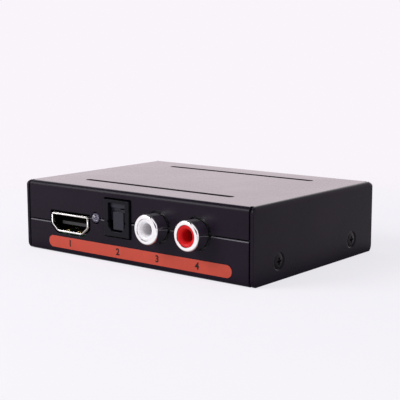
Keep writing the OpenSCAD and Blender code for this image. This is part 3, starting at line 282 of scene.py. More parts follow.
def feed(tree, target, source):
    """Link a socket to its source, or set it to a plain value"""
    if hasattr(source, "is_output"):
        tree.links.new(source, target)
    else:
        target.default_value = source


def put(tree, kind, feeds=None, **values):
    """Add a node, set its values and feed its sockets"""
    node = tree.nodes.new(kind)
    for key, value in values.items():
        setattr(node, key, value)
    for socket, source in (feeds or {}).items():
        feed(tree, node.inputs[socket], source)
    return node


def worked(tree, operation, *terms):
    """The result of a sum"""
    return put(tree, "ShaderNodeMath", dict(enumerate(terms)), operation=operation).outputs[0]


def sum_of(tree, a, b, share):
    """a plus b times its share"""
    return worked(tree, "MULTIPLY_ADD", b, share, a)


def on_piece(tree):
    """Places on the piece itself, in metres"""
    return put(tree, "ShaderNodeTexCoord").outputs["Object"]


def noise(tree, where, scale, detail, **more):
    feeds = {"Vector": where, "Scale": scale, "Detail": detail}
    return put(tree, "ShaderNodeTexNoise", {**feeds, **more}).outputs["Fac"]


def ramp(tree, value, start, end, low=0.0, high=1.0, smooth=False):
    """From low to high while the value goes from start to end"""
    feeds = {"Value": value, "From Min": start, "From Max": end, "To Min": low, "To Max": high}
    kind = "SMOOTHSTEP" if smooth else "LINEAR"
    return put(tree, "ShaderNodeMapRange", feeds, interpolation_type=kind).outputs[0]


def mixed(tree, share, first, second, blend="MIX"):
    """A mix of two colours, each plain or from a socket"""
    node = put(tree, "ShaderNodeMix", {"Factor": share}, data_type="RGBA", blend_type=blend)
    colours = [socket for socket in node.inputs if socket.type == "RGBA"]
    feed(tree, colours[0], first)
    feed(tree, colours[1], second)
    return [socket for socket in node.outputs if socket.type == "RGBA"][0]


# Effects that the finishes share
def make_powder_coat():
    """Fine beads over a soft orange peel, as sprayed powder sets"""
    tree, given, out = effect("powder_coat_skin", {"Bead": 1500.0, "Peel": 420.0, "Bead share": 0.6},
                              "Height", "Tone")
    where = on_piece(tree)
    beads = put(tree, "ShaderNodeTexVoronoi", {"Vector": where, "Scale": given["Bead"]}, feature="SMOOTH_F1")
    grit = noise(tree, where, given["Bead"], 3.0)
    peel = noise(tree, where, given["Peel"], 2.0)
    drift = noise(tree, where, 45.0, 3.0)
    fine = worked(tree, "SUBTRACT", grit, beads.outputs["Distance"])
    feed(tree, out["Height"], sum_of(tree, peel, fine, given["Bead share"]))
    feed(tree, out["Tone"], sum_of(tree, drift, grit, 0.5))
    return tree


def make_mould_skin():
    """Fine eroded texture of a mould, with slow flow marks"""
    tree, given, out = effect("mould_skin", {"Grain": 3000.0, "Flow": 180.0}, "Height", "Tone")
    where = on_piece(tree)
    grain = noise(tree, where, given["Grain"], 4.0)
    flow = noise(tree, where, given["Flow"], 1.0, Distortion=1.2)
    feed(tree, out["Height"], sum_of(tree, flow, grain, 0.35))
    feed(tree, out["Tone"], sum_of(tree, grain, flow, 0.5))
    return tree


def make_drawn_metal():
    """Fine die lines along the depth, hazed by handling"""
    tree, given, out = effect("drawn_metal", {"Lines": 5200.0, "Haze": 260.0}, "Height", "Tone", "Haze")
    where = on_piece(tree)
    long = put(tree, "ShaderNodeMapping", {"Vector": where, "Scale": (1.0, 0.06, 1.0)})
    lines = noise(tree, long.outputs[0], given["Lines"], 3.0)
    haze = noise(tree, where, given["Haze"], 5.0, Roughness=0.65)
    feed(tree, out["Height"], lines)
    feed(tree, out["Tone"], sum_of(tree, haze, lines, 0.3))
    feed(tree, out["Haze"], haze)
    return tree


def make_laminate():
    """Woven glass under a coloured mask, with the raised lines of the copper below it"""
    tree, given, out = effect("board_laminate", {"Weave": 1500.0, "Lines": 620.0},
                              "Height", "Weave", "Copper")
    where = on_piece(tree)
    threads = {"Vector": where, "Scale": given["Weave"], "Distortion": 0.6}
    warp = put(tree, "ShaderNodeTexWave", threads, bands_direction="X").outputs["Fac"]
    weft = put(tree, "ShaderNodeTexWave", threads, bands_direction="Y").outputs["Fac"]
    weave = worked(tree, "MULTIPLY", warp, weft)
    cells = put(tree, "ShaderNodeTexVoronoi", {"Vector": where, "Scale": given["Lines"], "Randomness": 0.85},
                feature="F1", distance="CHEBYCHEV")
    bands = worked(tree, "FRACT", worked(tree, "MULTIPLY", cells.outputs["Distance"], 9.0))
    copper = ramp(tree, bands, 0.5, 0.58)
    feed(tree, out["Height"], sum_of(tree, weave, copper, 2.0))
    feed(tree, out["Weave"], weave)
    feed(tree, out["Copper"], copper)
    return tree


POWDER = make_powder_coat()
MOULD = make_mould_skin()
DRAWN = make_drawn_metal()
LAMINATE = make_laminate()


# Finishes
def finish_base(slot, effect_tree, settings, shader):
    """A material with its shader, and what the effect on it puts out"""
    made = bpy.data.materials.new(slot)
    made.use_nodes = True
    tree = made.node_tree
    bsdf = tree.nodes["Principled BSDF"].inputs
    for socket, value in shader.items():
        bsdf[socket].default_value = value
    used = tree.nodes.new("ShaderNodeGroup")
    used.node_tree = effect_tree
    for socket, value in settings.items():
        used.inputs[socket].default_value = value
    return made, tree, bsdf, used.outputs


def tint(tree, mask, colour, dark, light, spread):
    """The colour between a darker and a lighter share of itself, by a mask"""
    shades = [(*(min(1.0, part * share) for part in colour), 1) for share in (dark, light)]
    return mixed(tree, ramp(tree, mask, *spread), *shades)


def bump(tree, bsdf, height, distance, strength=1.0):
    node = put(tree, "ShaderNodeBump", {"Height": height, "Distance": distance * MM, "Strength": strength})
    feed(tree, bsdf["Normal"], node.outputs[0])


def paint_shade_inside(tree, colour, lip, inside, share):
    """Painted shade, darkening a colour from a socket's lip inwards, by depth from the case's ends in mm"""
    along = put(tree, "ShaderNodeSeparateXYZ", {0: on_piece(tree)}).outputs["Y"]
    depth = worked(tree, "ABSOLUTE", along)
    mask = ramp(tree, depth, (HALF_D - inside) * MM, (HALF_D - lip) * MM, share, 1.0)
    return mixed(tree, 1.0, colour, mask, "MULTIPLY")


def powder_finish(slot, colour):
    """Sprayed paint, dull when seen straight on and glossy at a slant"""
    made, tree, bsdf, skin = finish_base(slot, POWDER, {}, {
        "IOR": 1.18, "Coat IOR": 2.6, "Coat Roughness": 0.15})
    feed(tree, bsdf["Base Color"], tint(tree, skin["Tone"], colour, 0.8, 1.25, (0.5, 1.0)))
    feed(tree, bsdf["Roughness"], ramp(tree, skin["Tone"], 0.5, 1.0, 0.25, 0.34))
    slant = put(tree, "ShaderNodeLayerWeight", {"Blend": 0.5}).outputs["Facing"]
    gloss = ramp(tree, slant, 0.52, 0.8, smooth=True)
    beads = ramp(tree, skin["Tone"], 0.55, 0.95, 0.78, 1.0)
    feed(tree, bsdf["Coat Weight"], worked(tree, "MULTIPLY", gloss, beads))
    bump(tree, bsdf, skin["Height"], 0.012, 0.7)
    return made


def moulded_finish(slot, colour, rough=0.4, depth=0.004, grain=3000.0, ior=1.45, coat=0.0, painted_shade=None):
    """Plastic, or another skin with a fine even grain"""
    made, tree, bsdf, skin = finish_base(slot, MOULD, {"Grain": grain}, {
        "IOR": ior, "Coat Weight": coat, "Coat Roughness": 0.08})
    shade = tint(tree, skin["Tone"], colour, 0.9, 1.08, (0.55, 0.95))
    # Painted shade inside the socket, where one is asked for
    feed(tree, bsdf["Base Color"], paint_shade_inside(tree, shade, *painted_shade) if painted_shade else shade)
    feed(tree, bsdf["Roughness"], ramp(tree, skin["Tone"], 0.55, 0.95, rough * 0.85, rough * 1.15))
    bump(tree, bsdf, skin["Height"], depth)
    return made


def metal_finish(slot, colour, rough=0.14, depth=0.0012, lines=5200.0, painted_shade=None):
    """Plated, drawn or blackened metal"""
    made, tree, bsdf, skin = finish_base(slot, DRAWN, {"Lines": lines}, {"Metallic": 1.0})
    shade = tint(tree, skin["Tone"], colour, 0.93, 1.04, (0.45, 0.85))
    # Painted shade inside the socket, where one is asked for
    feed(tree, bsdf["Base Color"], paint_shade_inside(tree, shade, *painted_shade) if painted_shade else shade)
    feed(tree, bsdf["Roughness"], ramp(tree, skin["Haze"], 0.3, 0.7, rough * 0.7, rough * 1.4))
    bump(tree, bsdf, skin["Height"], depth)
    return made


def clear_finish(slot, colour, rough, through):
    """Cast lens"""
    made, tree, bsdf, skin = finish_base(slot, MOULD, {"Grain": 1800.0}, {
        "IOR": 1.5, "Transmission Weight": through, "Coat Weight": 0.3, "Coat Roughness": 0.03})
    feed(tree, bsdf["Base Color"], tint(tree, skin["Tone"], colour, 0.96, 1.0, (0.55, 0.95)))
    feed(tree, bsdf["Roughness"], ramp(tree, skin["Tone"], 0.55, 0.95, rough * 0.8, rough * 1.3))
    return made


def board_finish(slot, mask_colour, copper_colour):
    """Circuit board"""
    made, tree, bsdf, skin = finish_base(slot, LAMINATE, {}, {
        "IOR": 1.5, "Coat Weight": 0.6, "Coat Roughness": 0.12})
    shade = tint(tree, skin["Weave"], mask_colour, 0.85, 1.15, (0.0, 1.0))
    feed(tree, bsdf["Base Color"], mixed(tree, skin["Copper"], shade, (*copper_colour, 1)))
    feed(tree, bsdf["Roughness"], ramp(tree, skin["Copper"], 0.0, 1.0, 0.45, 0.3))
    bump(tree, bsdf, skin["Height"], 0.006)
    return made


# Painted shade in sockets: depth from the case's ends where it starts, where it is darkest, and how dark it
# gets
SHELL_PAINTED_SHADE, WHITE_PAINTED_SHADE, RED_PAINTED_SHADE = (0.2, 0.9, 0.06), (-4.0, -3.4, 0.85), (-4.0, -3.4, 0.88)

RECIPES = {
    "case_paint": (powder_finish, (0.0105, 0.0068, 0.0135)),
    # Painted highlight: a lighter grey for the tray's edges along the seam
    "cut_edge": (moulded_finish, (0.13, 0.12, 0.14), 0.45, 0.004, 4200.0, 1.3),
    "screw_black": (metal_finish, (0.016, 0.0145, 0.018), 0.26, 0.003),
    "standoff_brass": (metal_finish, (0.76, 0.55, 0.24), 0.22),
    "screw_steel": (metal_finish, (0.62, 0.62, 0.65), 0.25),
    "label_red": (moulded_finish, (0.49, 0.061, 0.036), 0.42, 0.002, 5200.0, 1.3),
    "board_green": (board_finish, (0.012, 0.11, 0.05), (0.035, 0.2, 0.09)),
    "plated_shell": (metal_finish, (0.95, 0.93, 0.9), 0.2, 0.0012, 5200.0, SHELL_PAINTED_SHADE),
    "insulator_black": (moulded_finish, (0.018, 0.018, 0.02), 0.4),
    "contact_gold": (metal_finish, (0.95, 0.72, 0.32), 0.2),
    "led_clear": (clear_finish, (0.34, 0.32, 0.43), 0.05, 0.85),
    "tinned": (metal_finish, (0.7, 0.7, 0.72), 0.3),
    "optical_black": (moulded_finish, (0.0062, 0.0056, 0.0085), 0.3, 0.004, 3600.0, 1.2),
    "shutter_black": (moulded_finish, (0.02, 0.019, 0.029), 0.3, 0.003, 3600.0, 1.3),
    "pin_steel": (metal_finish, (0.75, 0.75, 0.77), 0.16),
    "emitter_red": (moulded_finish, (0.2, 0.012, 0.014), 0.2, 0.001),
    "phono_black": (moulded_finish, (0.014, 0.014, 0.016), 0.42),
    "phono_plate": (metal_finish, (0.97, 0.965, 0.965), 0.08, 0.0006),
    "phono_white": (moulded_finish, (0.84, 0.82, 0.84), 0.25, 0.001, 2400.0, 1.45, 0.3, WHITE_PAINTED_SHADE),
    "phono_red": (moulded_finish, (0.64, 0.01, 0.012), 0.3, 0.001, 2400.0, 1.2, 0.0, RED_PAINTED_SHADE),
    "jack_black": (moulded_finish, (0.014, 0.014, 0.016), 0.4),
    "jack_plate": (metal_finish, (0.86, 0.85, 0.86), 0.12),
    "switch_steel": (metal_finish, (0.72, 0.72, 0.74), 0.24),
    "switch_board": (moulded_finish, (0.12, 0.05, 0.02), 0.5),
    "switch_contact": (metal_finish, (0.85, 0.8, 0.66), 0.2),
    "knob_black": (moulded_finish, (0.02, 0.02, 0.022), 0.45, 0.006, 2600.0),
    "chip_black": (moulded_finish, (0.012, 0.012, 0.013), 0.55, 0.006, 4200.0),
    "can_aluminium": (metal_finish, (0.82, 0.82, 0.84), 0.3),
    "base_black": (moulded_finish, (0.016, 0.016, 0.018), 0.45),
    "core_grey": (moulded_finish, (0.05, 0.05, 0.053), 0.6, 0.01, 1600.0),
    "ceramic_tan": (moulded_finish, (0.3, 0.2, 0.1), 0.5, 0.004, 2400.0),
    "resistor_black": (moulded_finish, (0.014, 0.014, 0.016), 0.35, 0.003, 2400.0),
    "number_ink": (moulded_finish, (0.012, 0.008, 0.008), 0.5, 0.001, 5200.0, 1.3),
}
FINISHES = {slot: make(slot, *values) for slot, (make, *values) in RECIPES.items()}


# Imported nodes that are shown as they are: the finish, and the rounding of the edges if they get one
KEPT_NODES = {
    "board_standoffs": ("standoff_brass", 0.15), "board_screws": ("screw_steel", 0.12),
    "main_board": ("board_green", 0.05), "optical_emitter": ("emitter_red", 0.15),
    "video_out_insulator": ("insulator_black", 0.06), "video_in_insulator": ("insulator_black", 0.06),
    "video_out_contacts": ("contact_gold", 0), "video_in_contacts": ("contact_gold", 0),
    "phono_left_contact": ("contact_gold", 0), "phono_right_contact": ("contact_gold", 0),
    "phono_left_body": ("phono_black", 0.3), "phono_right_body": ("phono_black", 0.3),
    "emitter_leads": ("tinned", 0), "chip_leads": ("tinned", 0),
    "shutter_pin": ("pin_steel", 0), "shutter_spring": ("pin_steel", 0),
    "power_jack_spring": ("jack_plate", 0.04), "mode_switch_base": ("switch_board", 0.05),
    "mode_switch_terminals": ("switch_contact", 0), "mode_switch_wiper": ("switch_contact", 0),
    "video_processor": ("chip_black", 0.12), "audio_converter_chip": ("chip_black", 0.1),
    "microcontroller": ("chip_black", 0.12), "memory_chip": ("chip_black", 0.1),
    "voltage_regulators": ("chip_black", 0.15), "power_inductor": ("core_grey", 0.3),
    "capacitor_cans": ("can_aluminium", 0.2), "capacitor_bases": ("base_black", 0.1),
    "crystal_can": ("can_aluminium", 0.25), "chip_capacitors": ("ceramic_tan", 0.08),
    "chip_resistors": ("resistor_black", 0),
}


def keep(node, slot, rounding):
    """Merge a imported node's triangles, soften its edges and give it its finish"""
    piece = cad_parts[node]
    piece.data.materials.clear()
    piece.data.materials.append(FINISHES[slot])
    take(piece)
    bpy.ops.object.shade_smooth()
    weld = piece.modifiers.new("weld", "WELD")
    weld.merge_threshold = DOUBLES * MM
    flat = piece.modifiers.new("flat", "DECIMATE")
    flat.decimate_type = "DISSOLVE"
    flat.angle_limit = math.radians(1)
    if rounding:
        edge = piece.modifiers.new("edge", "BEVEL")
        edge.width, edge.segments = rounding * MM, 2
        edge.limit_method, edge.angle_limit = "ANGLE", math.radians(40)
    faces = piece.modifiers.new("faces", "WEIGHTED_NORMAL")
    faces.weight = 100


def done(piece, slot, body, *nodes):
    """Finish a new piece, hang it on its body and let it stand for its nodes"""
    clear()
    if not piece.data.materials:
        piece.data.materials.append(FINISHES[slot])
    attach(piece, body)
    if nodes:
        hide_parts(*nodes)


# Folded case
def sheet(name, half_x, half_y, z):
    clear()
    bpy.ops.mesh.primitive_plane_add(size=2 * MM, location=(0, 0, z * MM))
    bpy.ops.transform.resize(value=(half_x, half_y, 1))
    return settle(name)


def fold(piece, pick, pivot, axis, turn, drop):
    """Bend the picked edges of a sheet round a pivot, then draw the flange on"""
    # With no window open, spin turns the other way
    choose(piece, "EDGE", pick)
    bpy.ops.mesh.spin(steps=BEND_STEPS, angle=math.radians(-turn), center=Vector(pivot) * MM, axis=axis)
    draw_out(z=drop)


def face_out(piece, z, way):
    """Turn a sheet's faces over if its flat at this height doesn't look up (1) or down (-1)"""
    choose(piece, "FACE", lambda c, n: near(c.z, z))
    faces = bmesh.from_edit_mesh(piece.data).faces
    if sum(face.normal.z for face in faces if face.select) * way < 0:
        bpy.ops.mesh.select_all(action="SELECT")
        bpy.ops.mesh.flip_normals()


def socket_outline(name, end, x, grow, in0, in1):
    """Outline of a video socket, grown all round and drawn through: a block with its lower corners cut off"""
    piece = end_block(name, end, x, 2 * (VIDEO_HALF_W + grow), in0, in1, VIDEO_LOW - grow,
                      VIDEO_LOW + VIDEO_HIGH + grow)
    lean = math.atan2(VIDEO_SLANT, VIDEO_HALF_W - VIDEO_HALF_FLOOR)
    for side in (-1, 1):
        normal = Vector((side * math.sin(lean), 0, -math.cos(lean)))
        point = Vector((x + side * VIDEO_HALF_FLOOR, 0, VIDEO_LOW)) + normal * grow
        choose(piece, "FACE")
        bpy.ops.mesh.bisect(plane_co=point * MM, plane_no=normal, use_fill=True, clear_outer=True)
    return piece


def round_along_y(piece, radius, test=lambda c: True, steps=4):
    choose(piece, "EDGE", lambda c, n: abs(n.y) > 0.99 and test(c))
    bpy.ops.mesh.bevel(offset=radius * MM, segments=steps, affect="EDGES")


def hole(x, z, r, end, sides=64):
    """Cutter of a round hole through an end of the case"""
    return turned("hole", (x, deep(end, 0), z), (0, -end, 0), rod(r, OUTSIDE, THROUGH), sides)


def end_cutters():
    """Cutters of every opening in the two ends, used on cover and tray alike"""
    videos = [socket_outline("video", end, x, VIDEO_ROOM, OUTSIDE, THROUGH)
              for end, x in ((FRONT, VIDEO_OUT_X), (REAR, VIDEO_IN_X))]
    for video in videos:
        round_along_y(video, 0.5)
    optical = end_block("optical", FRONT, OPTICAL_X, OPTICAL_W + 2 * OPTICAL_ROOM, OUTSIDE, THROUGH,
                        OPTICAL_LOW - OPTICAL_ROOM, OPTICAL_HIGH + OPTICAL_ROOM)
    switch = end_block("switch", REAR, SWITCH_X, KNOB_SLOT_W, OUTSIDE, THROUGH,
                       KNOB_Z - KNOB_SLOT_HALF, KNOB_Z + KNOB_SLOT_HALF)
    for piece in (optical, switch):
        round_along_y(piece, 0.35)
    return [*videos, optical, switch, hole(LED_X, SEAM, LED_HOLE_R, FRONT, 32),
            hole(PHONO_LEFT_X, SEAM, PHONO_HOLE_R, FRONT), hole(PHONO_RIGHT_X, SEAM, PHONO_HOLE_R, FRONT),
            hole(POWER_X, POWER_Z, POWER_HOLE_R, REAR)]


def step_cutter(x0, x1, z0, z1):
    """Cutter of the step that the seam takes under the video output"""
    return end_block("step", FRONT, (x0 + x1) / 2, x1 - x0, OUTSIDE, THROUGH, z0, z1)


def round_cover_corners(cover, flat_x, flat_y, bend_z):
    """Draw the side bends out to the ends of the case, and round the corners there by the bend's radius"""
    for side in (-1, 1):
        choose(cover, "EDGE", lambda c, n: abs(n.z) > 0.99 and near(abs(c.x), HALF_W)
               and near(c.y, side * flat_y) and near(c.z, bend_z / 2))
        draw_out(y=side * COVER_BEND)
        choose(cover, "EDGE", lambda c, n: near(c.y, side * flat_y) and abs(n.y) < 0.01
               and abs(c.x) > flat_x + 0.1 and bend_z < c.z < HEIGHT - 0.05)
        draw_out(y=side * COVER_BEND)
        for step in range(BEND_STEPS):
            turn = math.radians(90 * step / BEND_STEPS)
            row_z = bend_z + COVER_BEND * math.sin(turn)
            choose(cover, "VERT", lambda c, n: near(c.y, side * HALF_D) and near(c.z, row_z))
            shift(y=-side * COVER_BEND * (1 - math.cos(turn)))


def make_cover(openings):
    """Sheet folded down on all four sides, with vents, relief holes at its corners and sunk screw holes"""
    flat_x, flat_y, bend_z = HALF_W - COVER_BEND, HALF_D - COVER_BEND, HEIGHT - COVER_BEND
    cover = sheet("cover_sheet", flat_x, flat_y, HEIGHT)
    for side, low in ((-1, COVER_LOW_LEFT), (1, COVER_LOW)):
        fold(cover, lambda c, n: near(c.y, side * flat_y), (0, side * flat_y, bend_z), (1, 0, 0),
             -90 * side, low - bend_z)
    for side in (1, -1):
        fold(cover, lambda c, n: near(c.x, side * flat_x) and near(c.z, HEIGHT), (side * flat_x, 0, bend_z),
             (0, 1, 0), 90 * side, -bend_z)
    round_cover_corners(cover, flat_x, flat_y, bend_z)
    close_up(cover)
    face_out(cover, HEIGHT, 1)
    choose(cover, "VERT", lambda c, n: near(abs(c.x), HALF_W) and near(abs(c.y), HALF_D) and near(c.z, 0))
    bpy.ops.mesh.bevel(offset=2 * MM, segments=6, affect="VERTICES")
    apply(cover, "SOLIDIFY", thickness=SHEET * MM, offset=-1, use_even_offset=True)

    slit_x = (FLANGE + HALF_W - SHEET) / 2
    cut_away(cover, step_cutter(VIDEO_OUT_X, slit_x, SEAM_LEFT + OUTSIDE, COVER_LOW))
    cut_away(cover, *openings, keep=True)
    for y in (-HALF_D + VENT_FRONT_IN, HALF_D - VENT_REAR_IN):
        vent = block("vent", VENT_LENGTH, y - VENT_WIDTH / 2, y + VENT_WIDTH / 2, HEIGHT - THROUGH,
                     HEIGHT - OUTSIDE)
        choose(vent, "EDGE", lambda c, n: abs(n.z) > 0.99)
        bpy.ops.mesh.bevel(offset=(VENT_WIDTH / 2 - 0.005) * MM, segments=8, affect="EDGES")
        cut_away(cover, vent)
    for x in (-flat_x, flat_x):
        for y in (-flat_y, flat_y):
            at = (x, y, HEIGHT - SHEET - 0.3)
            cut_away(cover, turned("relief", at, (0, 0, 1), rod(BEND_RELIEF, 0, 3), 22))
    for side in (-1, 1):
        for y in (-SCREW_Y, SCREW_Y):
            cut_away(cover, turned("sink", (side * HALF_W, y, SCREW_Z), (-side, 0, 0),
                                   [(0, -0.4), (2.85, -0.4), (1.35, 1.03), (1.35, 1.6), (0, 1.6)], 32))
    soften(cover, 0.13, 2)
    trim(cover, HALF_W, HALF_D, HEIGHT)
    done(cover, "case_paint", "case", "top_cover")


def at_each_screw(piece):
    """The piece made for the front right screw, and its copies at the other three"""
    right = [piece, copied(piece, "copy", y=2 * SCREW_Y)]
    return right + [copied(each, "copy", flip=True) for each in right]


def make_tray(openings):
    """Sheet with flanges at its ends, lower side walls, and threaded bosses for the screws"""
    flat_x, flat_y = TRAY_HALF_W - TRAY_BEND, HALF_D - TRAY_BEND
    tray = sheet("tray_sheet", flat_x, flat_y, 0)
    notch_y = TRAY_WALL_L + TRAY_NOTCH
    for y in (-notch_y, -TRAY_WALL_L, TRAY_WALL_L, notch_y):
        choose(tray, "FACE")
        bpy.ops.mesh.bisect(plane_co=(0, y * MM, 0), plane_no=(0, 1, 0))
    for side in (-1, 1):
        choose(tray, "EDGE", lambda c, n: near(c.x, side * flat_x) and abs(c.y) > notch_y)
        draw_out(x=side * (FLANGE - flat_x))
    for side in (-1, 1):
        fold(tray, lambda c, n: near(c.y, side * flat_y) and abs(n.x) > 0.9, (0, side * flat_y, TRAY_BEND),
             (1, 0, 0), 90 * side, TRAY_HIGH - TRAY_BEND)
    for side in (-1, 1):
        fold(tray, lambda c, n: near(c.x, side * flat_x) and abs(c.y) < 1 and abs(n.y) > 0.9 and near(c.z, 0),
             (side * flat_x, 0, TRAY_BEND), (0, 1, 0), -90 * side, TRAY_WALL_H - TRAY_BEND)
    close_up(tray)
    face_out(tray, 0, -1)
    apply(tray, "SOLIDIFY", thickness=SHEET * MM, offset=-1, use_even_offset=True)

    cut_away(tray, step_cutter(-FLANGE + OUTSIDE, VIDEO_OUT_X, TRAY_HIGH_LEFT, SEAM - OUTSIDE))
    cut_away(tray, *openings)
    for x in (-STANDOFF_X, STANDOFF_X):
        for y in STANDOFF_Y:
            cut_away(tray, turned("bore", (x, y, -1), (0, 0, 1), rod(STANDOFF_R, 0, 3), 32))
    wall_middle = TRAY_HALF_W - SHEET / 2
    for side in (-1, 1):
        for y in (-SCREW_Y, SCREW_Y):
            cut_away(tray, turned("tap", (side * wall_middle, y, SCREW_Z), (-side, 0, 0),
                                  rod(SCREW_HOLE_R, -1, 1), 24))
    tray.data.materials.append(FINISHES["case_paint"])
    tray.data.materials.append(FINISHES["cut_edge"])
    # Painted highlight along the seam: the flanges' upper edges get the lighter grey finish
    choose(tray, "EDGE", lambda c, n: abs(n.x) > 0.99 and near(abs(c.y), HALF_D)
           and (near(c.z, TRAY_HIGH) or near(c.z, TRAY_HIGH_LEFT)))
    bpy.ops.mesh.bevel(offset=0.3 * MM, segments=2, affect="EDGES", material=1)
    soften(tray, 0.1, 2, 48)

    boss = turned("boss", (wall_middle, -SCREW_Y, SCREW_Z), (-1, 0, 0),
                  [(SCREW_HOLE_R, 0), (2.25, 0), (2.25, 1.3), (2.05, 1.5), (SCREW_HOLE_R, 1.5),
                   (SCREW_HOLE_R, 0)], 24)
    smooth_below(boss, 35)
    done(joined(tray, *at_each_screw(boss)), "case_paint", "case", "bottom_tray")


def make_cover_screws():
    """Sunk heads, slightly crowned, with a tapered cross recess; one is made and copied"""
    head = turned("cover_screw_set", (HALF_W, -SCREW_Y, SCREW_Z), (-1, 0, 0),
                  [(0, 0.02), (0.9, 0.05), (1.6, 0.13), (2.1, 0.26), (2.24, 0.36), (2.2, 0.44), (1.25, 1.0),
                   (1.25, 3.7), (1.0, 4.0), (0, 4.0)], 48)
    for w, h in ((2.7, 0.75), (0.75, 2.7)):
        recess = block("recess", 1.4, -SCREW_Y - w / 2, -SCREW_Y + w / 2, SCREW_Z - h / 2, SCREW_Z + h / 2,
                       HALF_W)
        choose(recess, "FACE", lambda c, n: n.x < -0.9)
        middle = (HALF_W * MM, -SCREW_Y * MM, SCREW_Z * MM)
        bpy.ops.transform.resize(value=(1, 0.55, 0.55), center_override=middle)
        cut_away(head, recess)
    soften(head, 0.06, 2, 30)
    heads = at_each_screw(head)
    for flipped in heads[2:]:
        apply(flipped, "WEIGHTED_NORMAL", keep_sharp=True, weight=100)
    done(joined(*heads), "screw_black", "case", "cover_screws")


def make_label():
    """Printed strip with round ends, and the plain port numbers on it"""
    strip = end_block("label_strip", FRONT, 1.4, LABEL_LENGTH, -LABEL_THICK, 0, LABEL_LOW, LABEL_HIGH)
    round_along_y(strip, (LABEL_HIGH - LABEL_LOW) / 2 - 0.01, steps=14)
    soften(strip, 0.03, 2)
    done(strip, "label_red", "case", "port_label")
    middle = (LABEL_LOW + LABEL_HIGH) / 2
    for number, x in (("1", VIDEO_OUT_X), ("2", OPTICAL_X), ("3", PHONO_LEFT_X), ("4", PHONO_RIGHT_X)):
        clear()
        bpy.ops.object.text_add(location=(x * MM, deep(FRONT, -LABEL_THICK) * MM, middle * MM),
                                rotation=(math.pi / 2, 0, 0))
        text = bpy.context.object
        text.data.body, text.data.size, text.data.offset = number, NUMBER_SIZE * MM, 0.09 * MM
        text.data.align_x, text.data.align_y = "CENTER", "CENTER"
        text.data.extrude, text.data.resolution_u = 0.02 * MM, 6
        bpy.ops.object.convert(target="MESH")
        done(settle("port_number_" + number), "number_ink", "case")


# Sockets
def solder_leg(end, x, width, in0, in1, high, foot, edge):
    """Flat leg that goes down through the board, narrowed at its foot"""
    leg = end_block("leg", end, x, width, in0, in1, LEG_LOW, high)
    choose(leg, "FACE", lambda c, n: n.z < -0.9)
    bpy.ops.transform.resize(value=foot)
    return soften(leg, edge, 2)


def spring_tab(side, up, z):
    """Gold spring leaf in a window of the video shell, arched towards the plug"""
    tab = end_block("tab", FRONT, VIDEO_OUT_X + side * TAB_X, TAB_W, TAB_OUT, TAB_IN, z, z + 0.22 * up)
    close_up(tab)
    choose(tab, "FACE")
    for along in (1.9, 2.7, 3.8):
        bpy.ops.mesh.select_all(action="SELECT")
        bpy.ops.mesh.bisect(plane_co=(0, deep(FRONT, along) * MM, 0), plane_no=(0, 1, 0))
    for along, lift in ((TAB_OUT, 0.14), (1.9, 0.34), (2.7, 0.4), (3.8, 0.2)):
        choose(tab, "VERT", lambda c, n: near(c.y, deep(FRONT, along)))
        shift(z=up * lift)
    tab.data.materials.append(FINISHES["contact_gold"])
    return soften(tab, 0.03, 2)


def make_video_cans():
    """Drawn shell with a thick rolled lip, spring tabs and legs; the rear one is a copy turned round"""
    can = socket_outline("video_out_can", FRONT, VIDEO_OUT_X, 0, 0, VIDEO_DEEP)
    round_along_y(can, 0.45)
    choose(can, "FACE", lambda c, n: abs(n.y) > 0.9)
    bpy.ops.mesh.delete(type="FACE")
    choose(can, "EDGE", lambda c, n: near(c.y, -HALF_D))
    draw_out(y=-0.3)
    apply(can, "SOLIDIFY", thickness=VIDEO_WALL * MM, offset=1, use_even_offset=True)
    middle = Vector((VIDEO_OUT_X, 0, VIDEO_LOW + VIDEO_HIGH / 2))
    choose(can, "FACE", lambda c, n: -HALF_D - 0.28 < c.y < -HALF_D and abs(n.y) < 0.5
           and (c - middle).dot(n) > 0)
    bpy.ops.mesh.extrude_region_shrink_fatten(TRANSFORM_OT_shrink_fatten={"value": 0.08 * MM})
    for side in (-1, 1):
        x = VIDEO_OUT_X + side * TAB_X
        for z in (BOARD_TOP + 0.3, BOARD_TOP + 5.3):
            cut_away(can, end_block("window", FRONT, x, 2.1, 0.9, TAB_IN, z - 0.4, z + 0.4))
    soften(can, 0.1, 3)
    extras = []
    for side in (-1, 1):
        extras += [spring_tab(side, 1, BOARD_TOP + 0.15), spring_tab(side, -1, BOARD_TOP + 5.5)]
        for along in (2.97, 8.03):
            extras.append(solder_leg(FRONT, VIDEO_OUT_X + side * 7.2, 0.4, along - 0.6, along + 0.6,
                                     BOARD_TOP + 2.8, (1, 0.5, 1), 0.04))
    can.data.materials.append(FINISHES["plated_shell"])
    joined(can, *extras)
    other = copied(can, "video_in_can", x=VIDEO_OUT_X + VIDEO_IN_X, half_turn=True)
    done(can, "plated_shell", "case", "video_out_shell")
    done(other, "plated_shell", "case", "video_in_shell")


